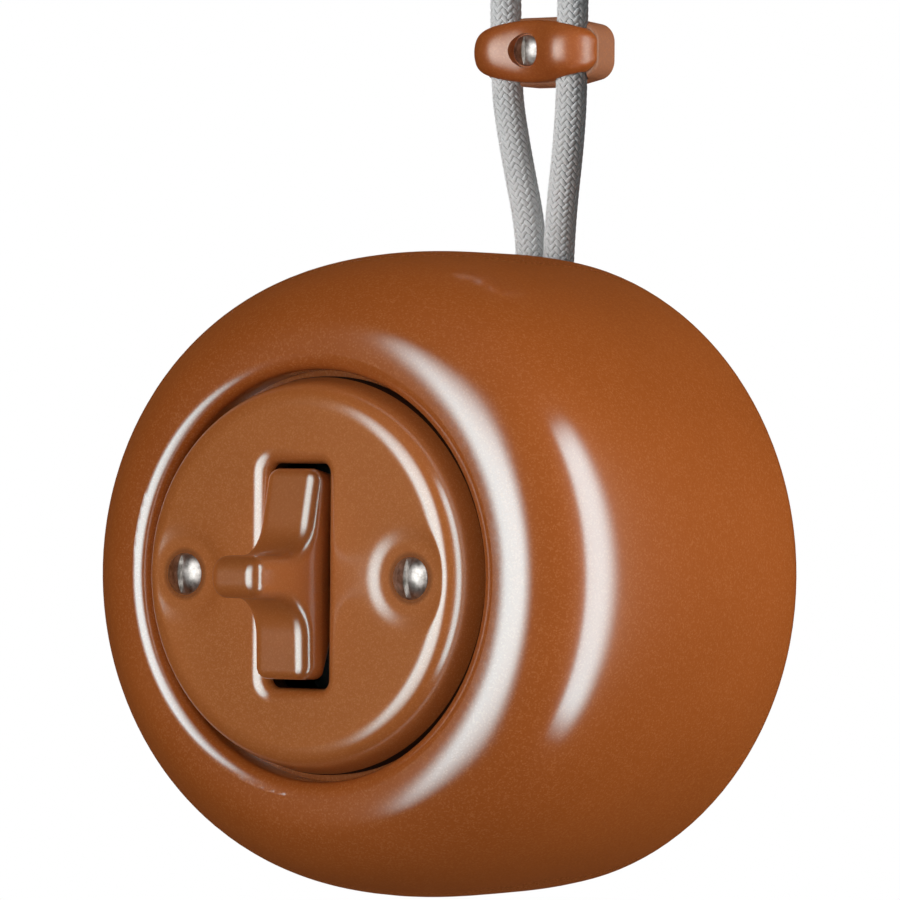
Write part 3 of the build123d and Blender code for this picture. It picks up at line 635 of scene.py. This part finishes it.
# Near-black clay as painted shade: it stands where shade falls, on the window's wall and deep down
# the cover's edge.
PAINTED_SHADE_CLAY = MouldedResin(
    "painted_shade_clay", (0.03, 0.011, 0.004), (0.05, 0.02, 0.008), 0.85, gloss=0.03
)
BROWN_SHEATH = MouldedResin("brown_sheath", (0.075, 0.03, 0.012), (0.11, 0.05, 0.022), 0.45)
BLACK_SHEATH = MouldedResin("black_sheath", (0.012, 0.012, 0.013), (0.03, 0.03, 0.031), 0.45)
YARN = BraidYarn("grey_braid_yarn")


def nodes(names: Iterable[str]) -> list[bpy.types.Object]:
    """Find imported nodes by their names."""
    return [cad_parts[name] for name in names]


def dress(piece: bpy.types.Object, finish: Finish) -> None:
    """Give a piece one finish all over."""
    piece.data.materials.clear()
    piece.data.materials.append(finish.material())


@dataclass
class CadGroup:
    """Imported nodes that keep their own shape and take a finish."""

    name: str
    finishes: dict[str, Finish]

    def build(self) -> None:
        """Dress each node."""
        for node, finish in self.finishes.items():
            dress(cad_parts[node], finish)
            LOG.info("%s: %s in %s", self.name, node, finish.name)


@dataclass(frozen=True)
class Ring:
    """A ring of the cover's skin, at a drop under the face or else at a depth from the wall."""

    reach: Callable[[float], float]
    drop: float | None = None
    depth: float | None = None


@dataclass
class CoverSkin:
    """The porcelain cover as one smooth skin, with soft dimples round its screws.

    Sizes are in millimetres, as the cover's own drawing has them. The window is given by its
    half width, half height and corner, and its rim by its width and depth. The edge and the
    dimples are tables of distance and drop.
    """

    name: str = "cover_skin"
    node: str = "cover_disc"
    face: float = 66.9
    back: float = 61.9
    seat: float = 57.4
    radius: float = 30.1
    skirt: float = 3.2
    window: Point = (5.55, 16.9, 1.5)
    rim: Pair = (2.5, 2.2)
    right_rim: float = 0.72
    right_turn: float = 2.0
    rim_steps: int = 10
    flat_reach: float = 21.6
    flat_steps: int = 42
    step: float = 0.3
    edge: tuple[Pair, ...] = (
        (25.0, 0.0), (25.4, 0.012), (25.75, 0.04), (26.15, 0.108), (26.56, 0.21), (26.92, 0.35),
        (27.27, 0.53), (27.6, 0.765), (27.9, 1.06), (28.1, 1.31), (28.27, 1.58), (28.45, 1.9),
        (28.62, 2.24), (28.78, 2.62), (28.92, 3.0), (29.06, 3.45), (29.24, 4.1), (29.45, 4.9),
        (29.7, 5.9), (29.95, 6.9), (30.1, 7.6),
    )
    screw_spread: float = 21.0
    dimple: tuple[Pair, ...] = (
        (0.0, 0.43), (5.0, 0.43), (5.5, 0.41), (5.9, 0.364), (6.4, 0.284), (6.9, 0.2),
        (7.4, 0.122), (7.9, 0.064), (8.5, 0.028), (9.2, 0.008), (10.0, 0.0),
    )
    blend: float = 4.0
    painted_shade_drop: float = 6.4
    # Below this drop the skin takes the near-black painted shade.
    slot_reach: float = 9.3
    slot_half: float = 1.1
    slot_floor: float = 64.3
    back_gap: float = 0.3
    sharp_angle: float = 50.0
    fine_turns: tuple[tuple[int, int, float], ...] = ((66, 80, 0.25), (-26, 26, 0.5))

    def angles(self) -> list[float]:
        """List the angles round the disc, closer at the window's corners and the screws.

        Returns:
            The angles, in order.
        """
        marks = {float(k) for k in range(360)}
        for low, high, gap in self.fine_turns:
            for k in range(int((high - low) / gap) + 1):
                turn = low + k * gap
                marks.update({turn % 360, (180 - turn) % 360, -turn % 360, (180 + turn) % 360})
        return [math.radians(mark) for mark in sorted(marks)]

    def outline(self, angle: float, grow: float) -> float:
        """Measure from the middle to the window's outline.

        Args:
            angle: direction in the face.
            grow: how far the outline is widened.

        Returns:
            The distance.
        """
        half, tall, corner = (size + grow for size in self.window)
        c, s = max(abs(math.cos(angle)), TINY), max(abs(math.sin(angle)), TINY)
        if half / c * s <= tall - corner:
            return half / c
        if tall / s * c <= half - corner:
            return tall / s
        x, z = half - corner, tall - corner
        along = c * x + s * z
        return along + math.sqrt(along * along - x * x - z * z + corner * corner)

    def rim_share(self, angle: float) -> float:
        """Find the share of the rim's width, which is narrower to the right of the window.

        Args:
            angle: direction in the face.

        Returns:
            The share.
        """
        share = min(1.0, max(0.0, MID + self.right_turn * math.cos(angle)))
        share = share * share * (3 - 2 * share)
        return 1 - (1 - self.right_rim) * share

    def rim_edge(self, angle: float) -> float:
        """Distance from the middle to where the window's rim meets the face."""
        return self.outline(angle, self.rim[0] * self.rim_share(angle))

    def across_flat(self, angle: float, share: float) -> float:
        """Distance from the middle at a share of the way from the rim to the round rings."""
        return self.rim_edge(angle) * (1 - share) + self.flat_reach * share

    def sink(self, x: float, z: float) -> float:
        """Measure the screws' dimples.

        Args:
            x: place across the face.
            z: height on the face.

        Returns:
            The dimple's depth there.
        """
        away = math.hypot(abs(x) - self.screw_spread, z)
        for (r0, d0), (r1, d1) in zip(self.dimple, self.dimple[1:]):
            if away < r1:
                share = (away - r0) / (r1 - r0)
                return d0 + (d1 - d0) * share
        return 0.0

    def rings(self) -> list[Ring]:
        """List the rings from the window's back edge over the face and skirt to the back.

        Returns:
            The rings, in order.
        """
        wide, deep = self.rim
        made = [Ring(lambda a: self.outline(a, 0.0), depth=self.back)]
        for k in range(self.rim_steps):
            turn = math.pi / 2 * k / self.rim_steps
            grow, drop = wide * (1 - math.cos(turn)), deep * (1 - math.sin(turn))
            made.append(Ring(lambda a, g=grow: self.outline(a, g * self.rim_share(a)), drop))
        for k in range(self.flat_steps):
            made.append(Ring(lambda a, t=k / self.flat_steps: self.across_flat(a, t), 0.0))
        count = round((self.edge[0][0] - self.flat_reach) / self.step)
        flats = [(self.flat_reach + self.step * k, 0.0) for k in range(count)]
        for reach, drop in (*flats, *self.edge):
            made.append(Ring(lambda a, r=reach: r, drop))
        inner = self.radius - self.skirt
        behind = (
            (self.radius, self.seat),
            (inner, self.seat),
            (inner, self.back),
            (self.slot_reach, self.back),
        )
        for reach, depth in behind:
            made.append(
                Ring(lambda a, r=reach: max(r, self.outline(a, self.back_gap)), depth=depth)
            )
        return made

    def level(self, ring: Ring, x: float, z: float) -> float:
        """Measure from the wall to a place on a ring.

        Args:
            ring: the ring.
            x: place across the face.
            z: height on the face.

        Returns:
            The distance.
        """
        if ring.drop is not None:
            lost = (ring.drop**self.blend + self.sink(x, z) ** self.blend) ** (1 / self.blend)
            return self.face - lost
        behind = ring.depth == self.back
        in_slot = behind and abs(z) < self.slot_half and abs(x) <= self.slot_reach
        return self.slot_floor if in_slot else ring.depth

    def mesh(self, angles: list[float], rings: list[Ring]) -> bpy.types.Mesh:
        """Join the rings to a closed, smooth mesh.

        Args:
            angles: the angles round the disc.
            rings: the rings, in order.

        Returns:
            The mesh.
        """
        verts, faces = [], []
        for ring in rings:
            for angle in angles:
                away = ring.reach(angle)
                x, z = away * math.cos(angle), away * math.sin(angle)
                level = self.level(ring, x, z)
                verts.append((x / MM_PER_M, -level / MM_PER_M, z / MM_PER_M))
        count = len(angles)
        for ring in range(len(rings)):
            here, there = ring * count, (ring + 1) % len(rings) * count
            for k in range(count):
                n = (k + 1) % count
                faces.append((here + k, here + n, there + n, there + k))
        mesh = bpy.data.meshes.new(self.name)
        mesh.from_pydata(verts, [], faces)
        shape = bmesh.new()
        shape.from_mesh(mesh)
        bmesh.ops.recalc_face_normals(shape, faces=shape.faces)
        shape.to_mesh(mesh)
        shape.free()
        mesh.polygons.foreach_set("use_smooth", [True] * len(mesh.polygons))
        mesh.set_sharp_from_angle(angle=math.radians(self.sharp_angle))
        return mesh

    def build(self) -> None:
        """Make the skin, glazed in front, with near-black painted shade in the window, in the gap
        and at the back.
        """
        angles, rings = self.angles(), self.rings()
        mesh = self.mesh(angles, rings)
        skin = add_object(self.name, mesh)
        dress(skin, COVER_GLAZE)
        # Painted shade: near-black on the window's wall, the deep skirt and the back.
        mesh.materials.append(PAINTED_SHADE_CLAY.material())
        shaded_faces = [int(ring.drop is None or ring.drop > self.painted_shade_drop) for ring in rings]
        mesh.polygons.foreach_set("material_index", [b for b in shaded_faces for _ in angles])
        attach(skin, FRAME_BODY)
        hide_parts(self.node)
        LOG.info("%s: %d faces", self.name, len(mesh.polygons))


@dataclass(frozen=True)
class Station:
    """A place on a cable's line: its point, direction, side and distance from the start."""

    point: Vector
    way: Vector
    side: Vector
    run: float


@dataclass
class BraidedCable:
    """A cable's braided jacket: strands woven two over two along the cable's line.

    The route's points are given across, from the wall and up. The section is the outline of a
    strand, in shares of its width and height. The phases set where the two hands of strands
    go over and under.
    """

    name: str
    node: str
    route: list[Point]
    with_nodes: list[str]
    diameter: float = 0.005
    strands: int = 16
    pitch: float = 0.018
    strand_width: float = 0.00078
    strand_height: float = 0.00034
    weave: float = 0.00013
    phases: Pair = (0.5, 2.5)
    lift_gain: float = 1.5
    line_steps: int = 60
    section: tuple[Pair, ...] = (
        (-0.5, 0.0), (-0.29, 0.43), (0.29, 0.43), (0.5, 0.0), (0.29, -0.43), (-0.29, -0.43),
    )

    def line(self) -> list[Vector]:
        """Read the cable's line from a smooth spline on its route.

        Returns:
            The spline's points, from the housing to the far end.
        """
        curve = bpy.data.curves.new(self.name + "_line", "CURVE")
        curve.dimensions = "3D"
        curve.resolution_u = self.line_steps
        spline = curve.splines.new("NURBS")
        spline.points.add(len(self.route) - 1)
        for knot, (across, depth, height) in zip(spline.points, self.route):
            knot.co = (across, -depth, height, 1.0)
        spline.order_u = 3
        spline.use_endpoint_u = True
        holder = bpy.data.objects.new(self.name + "_line", curve)
        mesh = bpy.data.meshes.new_from_object(holder)
        points = [v.co.copy() for v in mesh.vertices]
        bpy.data.objects.remove(holder)
        bpy.data.meshes.remove(mesh)
        return points

    def stations(self) -> list[Station]:
        """List places along the cable's line, whose sides don't twist round it.

        Returns:
            The places, in order.
        """
        points = self.line()
        ways = [(b - a).normalized() for a, b in zip(points, points[1:])]
        ways.append(ways[-1])
        side, last, run = ways[0].orthogonal().normalized(), points[0], 0.0
        made = []
        for point, way in zip(points, ways):
            side = (side - way * side.dot(way)).normalized()
            run += (point - last).length
            made.append(Station(point, way, side, run))
            last = point
        return made

    def strand(self, hand: int, number: int, stations: list[Station]) -> list[Vector]:
        """Wind one strand.

        Args:
            hand: 1 or -1, the way in which it winds.
            number: its number among the strands of its hand.
            stations: places along the cable's line.

        Returns:
            The corners of its sections, in order.
        """
        middle = self.diameter / 2 - self.weave - self.strand_height / 2
        slant = math.atan(math.tau * middle / self.pitch)
        phase = self.phases[0] if hand > 0 else self.phases[1]
        corners = []
        for spot in stations:
            angle = hand * math.tau * spot.run / self.pitch + math.tau * number / self.strands
            turn = spot.way.cross(spot.side)
            out = spot.side * math.cos(angle) + turn * math.sin(angle)
            round_way = turn * math.cos(angle) - spot.side * math.sin(angle)
            column = angle * self.strands / math.pi - phase
            lift = max(-1.0, min(1.0, self.lift_gain * math.cos(math.pi * column / 2)))
            wide = round_way * math.cos(slant) - spot.way * (hand * math.sin(slant))
            centre = spot.point + out * (middle + self.weave * lift)
            for along, up in self.section:
                sideways = centre + wide * (along * self.strand_width)
                corners.append(sideways + out * (up * self.strand_height))
        return corners

    def mesh(self, stations: list[Station]) -> bpy.types.Mesh:
        """Weave all the strands.

        Args:
            stations: places along the cable's line.

        Returns:
            The mesh, with each corner's place across its strand.
        """
        verts, faces = [], []
        count = len(self.section)
        for hand in (1, -1):
            for number in range(self.strands):
                first = len(verts)
                verts += self.strand(hand, number, stations)
                last = len(verts) - count
                for low in range(first, last, count):
                    for k in range(count):
                        nxt = (k + 1) % count
                        faces.append((low + k, low + nxt, low + count + nxt, low + count + k))
                faces.append(tuple(first + k for k in reversed(range(count))))
                faces.append(tuple(last + k for k in range(count)))
        across = [along + MID for along, _ in self.section] * (len(verts) // count)
        mesh = bpy.data.meshes.new(self.name)
        mesh.from_pydata(verts, [], faces)
        mesh.attributes.new("across", "FLOAT", "POINT").data.foreach_set("value", across)
        mesh.polygons.foreach_set("use_smooth", [True] * len(mesh.polygons))
        mesh.update()
        return mesh

    def build(self) -> bpy.types.Object:
        """Make the jacket.

        Returns:
            The jacket's object.
        """
        stations = self.stations()
        length = stations[-1].run
        jacket = add_object(self.name, self.mesh(stations))
        inside = nodes(self.with_nodes)
        for piece in (jacket, *inside):
            piece.visible_glossy = False
        dress(jacket, YARN)
        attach(jacket, FRAME_BODY)
        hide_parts(self.node)
        LOG.info("%s: %d strands, %.1f mm", self.name, 2 * self.strands, length * MM_PER_M)
        return jacket


@dataclass
class Softbox:
    """A feathered light panel that the camera doesn't see.

    The aim is its azimuth and elevation in degrees. The sides and ends are the feathered shares
    of its width and height.
    """

    name: str
    aim: Pair
    size: Pair
    strength: float
    distance: float = 1.2
    shine: Shine = Shine.FILL
    tint: Colour = WHITE
    sides: Pair = (0.25, 0.25)
    ends: float = 0.25
    target: Point = (0.0, -0.03, 0.0)
    reach: Reach = Reach.ONLY
    chosen: list[bpy.types.Object] = field(default_factory=list)

    def glow(self) -> bpy.types.Material:
        """Make the panel's light, which fades towards its edges.

        Returns:
            The material.
        """
        made, graph = new_material(self.name)
        place = graph.place()
        across, along = graph.axis(place, "X"), graph.axis(place, "Y")
        borders = (
            (across + MID, self.sides[0]),
            (MID - across, self.sides[1]),
            (along + MID, self.ends),
            (MID - along, self.ends),
        )
        share = 1.0
        for inside, soft in borders:
            share = share * (inside / soft).clip().eased()
        light = graph.mix(share, BLACK, self.tint)
        sockets = {"Color": light, "Strength": self.strength}
        graph.finish(graph.node("ShaderNodeEmission", None, sockets))
        return made

    def build(self) -> None:
        """Stand the panel where it faces its target."""
        az, el = (math.radians(turn) for turn in self.aim)
        way = Vector((math.sin(az) * math.cos(el), -math.cos(az) * math.cos(el), math.sin(el)))
        mesh = bpy.data.meshes.new(self.name)
        corners = [(-0.5, -0.5, 0), (0.5, -0.5, 0), (0.5, 0.5, 0), (-0.5, 0.5, 0)]
        mesh.from_pydata(corners, [], [(0, 1, 2, 3)])
        mesh.materials.append(self.glow())
        panel = add_object(self.name, mesh)
        spot = Vector(self.target) + way * self.distance
        panel.matrix_world = stand(spot, way) @ Matrix.Diagonal((*self.size, 1.0, 1.0))
        panel.visible_camera = False
        panel.visible_shadow = False
        panel.visible_diffuse = self.shine is Shine.FILL
        panel.visible_glossy = self.shine is Shine.GLEAM
        if self.chosen:
            limit_light(panel, self.chosen, self.reach)
        LOG.info("light panel: %s", self.name)


@dataclass
class ScrewLamp:
    """A soft lamp that only the bright screw heads show."""

    pieces: list[bpy.types.Object]
    name: str = "screw_lamp"
    place: Point = (0.28, -1.05, 0.2)
    size: Pair = (0.8, 1.1)
    power: float = 8.0
    target: Point = (0.0, -0.03, 0.0)

    def build(self) -> None:
        """Hang the lamp where it faces the switch."""
        lamp = bpy.data.lights.new(self.name, "AREA")
        lamp.shape = "RECTANGLE"
        lamp.size, lamp.size_y = self.size
        lamp.energy = self.power
        holder = add_object(self.name, lamp)
        spot = Vector(self.place)
        holder.matrix_world = stand(spot, spot - Vector(self.target))
        holder.visible_camera = False
        limit_light(holder, self.pieces, Reach.ONLY)


@dataclass
class Studio:
    """Camera, floor, surroundings and light panels.

    The camera is given by its place, its three directions and the point of the photograph, in
    pixels, that its direction ahead goes through.
    """

    eye: Point = (0.58345, -0.86046, 0.01745)
    right: Point = (0.81198, 0.58363, 0.00768)
    up: Point = (-0.01642, 0.00969, 0.99982)
    ahead: Point = (-0.58345, 0.81196, -0.01745)
    focal_px: float = 6560.0
    frame_px: float = 900.0
    aim_px: Pair = (366.27, 574.89)
    sensor: float = 36.0
    clip: Pair = (0.01, 50.0)
    floor_drop: float = 2.2
    floor_size: float = 2.6
    floor_tone: float = 0.84
    floor_roughness: float = 0.85
    room_sides: int = 64
    room_reach: float = 2.0
    room_height: float = 2.4
    cloth_gap: float = 0.01
    cloth: Colour = (0.15, 0.045, 0.013)
    ambient: float = 0.1
    panels: list[Softbox] = field(default_factory=list)

    def camera(self) -> None:
        """Set the camera up at the photograph's viewing angle."""
        middle = self.frame_px / 2
        right, up, ahead = Vector(self.right), Vector(self.up), Vector(self.ahead)
        way = ahead * self.focal_px
        way = way + right * (middle - self.aim_px[0]) + up * (self.aim_px[1] - middle)
        way.normalize()
        across = (right - way * right.dot(way)).normalized()
        above = across.cross(way)
        lens = bpy.data.cameras.new("camera")
        lens.sensor_fit = "HORIZONTAL"
        lens.sensor_width = self.sensor
        lens.lens = self.focal_px * self.sensor / self.frame_px
        lens.clip_start, lens.clip_end = self.clip
        camera = add_object("camera", lens)
        turn = Matrix((across, above, -way)).transposed().to_4x4()
        camera.matrix_world = Matrix.Translation(Vector(self.eye)) @ turn
        bpy.context.scene.camera = camera

    def ring(self, reach: float) -> list[Pair]:
        """Points of a level circle round the part."""
        turns = [math.tau * k / self.room_sides for k in range(self.room_sides)]
        return [(reach * math.cos(turn), reach * math.sin(turn)) for turn in turns]

    def floor(self) -> None:
        """Lay a pale floor well under the part."""
        mesh = bpy.data.meshes.new("floor")
        rim = [(x, y, 0) for x, y in self.ring(self.floor_size / 2)]
        mesh.from_pydata(rim, [], [range(self.room_sides)])
        paint, graph = new_material("pale_floor")
        tone = (self.floor_tone, self.floor_tone, self.floor_tone, 1.0)
        sockets = {"Base Color": tone, "Roughness": self.floor_roughness}
        graph.finish(graph.principled(sockets))
        mesh.materials.append(paint)
        floor = add_object("floor", mesh)
        floor.location.z = -self.floor_drop

    def dark_room(self) -> None:
        """Hang dark cloth all round, which only gloss shows, so that the panels stand out."""
        mesh = bpy.data.meshes.new("dark_cloth")
        levels = (self.cloth_gap - self.floor_drop, self.room_height)
        verts = [(x, y, z) for z in levels for x, y in self.ring(self.room_reach)]
        count = self.room_sides
        faces = [(k, (k + 1) % count, count + (k + 1) % count, count + k) for k in range(count)]
        mesh.from_pydata(verts, [], [*faces, range(count), range(count, 2 * count)])
        paint, graph = new_material("dark_cloth")
        graph.finish(graph.node("ShaderNodeEmission", None, {"Color": (*self.cloth, 1.0)}))
        mesh.materials.append(paint)
        cloth = add_object("dark_cloth", mesh)
        cloth.visible_camera = False
        cloth.visible_diffuse = False
        cloth.visible_transmission = False
        cloth.visible_shadow = False

    def surroundings(self) -> None:
        """Make the surroundings white to look at and softer as light."""
        world = bpy.data.worlds.new("studio")
        world.use_nodes = True
        bpy.context.scene.world = world
        graph = Graph(world.node_tree)
        rays = ("Is Camera Ray", "Is Glossy Ray", "Is Transmission Ray")
        seen, gloss, through = (graph.node("ShaderNodeLightPath", None, None, r) for r in rays)
        soft, white = (
            graph.node("ShaderNodeBackground", None, {"Color": (*WHITE, 1.0), "Strength": strength})
            for strength in (self.ambient, 1.0)
        )
        looked_at = (seen + gloss + through).clip()
        both = graph.node("ShaderNodeMixShader", None, {0: looked_at, 1: soft, 2: white})
        graph.node("ShaderNodeOutputWorld", None, {"Surface": both})

    def build(self) -> None:
        """Put the studio together."""
        bpy.context.scene.view_settings.view_transform = "Standard"
        self.camera()
        self.floor()
        self.dark_room()
        self.surroundings()
        for panel in self.panels:
            panel.build()


LEFT_ROUTE = [
    (-0.0050, 0.0095, 0.0310),
    (-0.0009, 0.0042, 0.0430),
    (-0.0005, 0.0032, 0.0520),
    (-0.0034, 0.0047, 0.0680),
    (-0.0048, 0.0052, 0.0780),
    (-0.0048, 0.0052, 0.0960),
]
RIGHT_ROUTE = [
    (0.0088, 0.0095, 0.0310),
    (0.0047, 0.0042, 0.0430),
    (0.00475, 0.0034, 0.0560),
    (0.0072, 0.0048, 0.0680),
    (0.0080, 0.0052, 0.0775),
    (0.0080, 0.0052, 0.0960),
]
SCREW_NODES = ("cover_screws", "cleat_screw")
STEEL_NODES = ("pivot_pin", "plunger_spring", "mounting_strap", "strap_screws", "terminal_screws")
BRASS_NODES = (
    "post_inserts",
    "plunger",
    "base_rivets",
    "contact_rocker",
    "common_terminal",
    "lower_terminal",
    "upper_terminal",
)
CONTACT_NODES = ("moving_contacts", "fixed_contacts")
CORE_FINISHES = {
    "core_left": BROWN_SHEATH,
    "core_right": BLACK_SHEATH,
    "wire_end_left": COPPER,
    "wire_end_right": COPPER,
}
PORCELAIN_FINISHES = {
    "housing": GLAZE,
    "toggle_lever": LEVER_GLAZE,
    "cleat_cap": SATIN_GLAZE,
    "cleat_base": MATT_GLAZE,
}
CAD_GROUPS = (
    CadGroup("porcelain", PORCELAIN_FINISHES),
    CadGroup("fasteners", dict.fromkeys(SCREW_NODES, NICKEL)),
    CadGroup("mechanism", dict.fromkeys(STEEL_NODES, STEEL)),
    CadGroup("mechanism", dict.fromkeys(BRASS_NODES, BRASS)),
    CadGroup("mechanism", dict.fromkeys(CONTACT_NODES, SILVER)),
    CadGroup("mechanism", {"switch_base": RESIN, "pivot_yoke": DARK_STEEL}),
    CadGroup("cores", CORE_FINISHES),
)
COOL = (0.65, 0.93, 1.0)


def light_panels(braids: list[bpy.types.Object]) -> list[Softbox]:
    """Choose the light panels: soft fills, and two gleams that the glaze reflects.

    Args:
        braids: the cables' jackets, which have a fill of their own, as the lever has.

    Returns:
        The panels.
    """
    lever = nodes(["toggle_lever"])
    own_fill = [*braids, *lever]
    top = Softbox("top_fill", (60.0, 75.0), (1.2, 1.2), 1.1, distance=1.3)
    fills = [
        Softbox("front_fill", (2.0, 6.0), (1.2, 1.2), 3.75, reach=Reach.ALL_BUT, chosen=own_fill),
        Softbox("lever_fill", (-30.0, 2.0), (0.8, 1.2), 5.6, chosen=lever),
        Softbox("right_fill", (105.0, 4.0), (1.3, 1.8), 3.7, reach=Reach.ALL_BUT, chosen=braids),
        Softbox("braid_fill", (-27.0, 8.0), (0.9, 1.2), 7.9, chosen=braids),
        Softbox("back_fill", (215.0, 12.0), (1.0, 1.2), 3.4),
        replace(top, reach=Reach.ALL_BUT, chosen=lever),
    ]
    front = Softbox("front_gleam", (4.5, 2.0), (1.6, 3.7), 7.75, sides=(0.24, 0.38), ends=0.48)
    side = Softbox("side_gleam", (98.6, 0.0), (0.6, 2.9), 6.9, sides=(0.07, 0.45), ends=0.2)
    dull = nodes((*SCREW_NODES, *STEEL_NODES, *BRASS_NODES, *CORE_FINISHES))
    gleam = {"shine": Shine.GLEAM, "tint": COOL, "reach": Reach.ALL_BUT, "chosen": dull}
    return [*fills, *(replace(panel, **gleam) for panel in (front, side))]


def main() -> None:
    """Build the pieces in order."""
    logging.basicConfig(level=logging.INFO, format="%(message)s")
    for group in CAD_GROUPS:
        group.build()
    CoverSkin().build()
    braids = [
        BraidedCable(
            "braid_left", "cable_left", LEFT_ROUTE, ["core_left", "wire_end_left"]
        ).build(),
        BraidedCable(
            "braid_right", "cable_right", RIGHT_ROUTE, ["core_right", "wire_end_right"]
        ).build(),
    ]
    Studio(panels=light_panels(braids)).build()
    ScrewLamp(nodes(SCREW_NODES)).build()


if __name__ == "__main__":
    main()
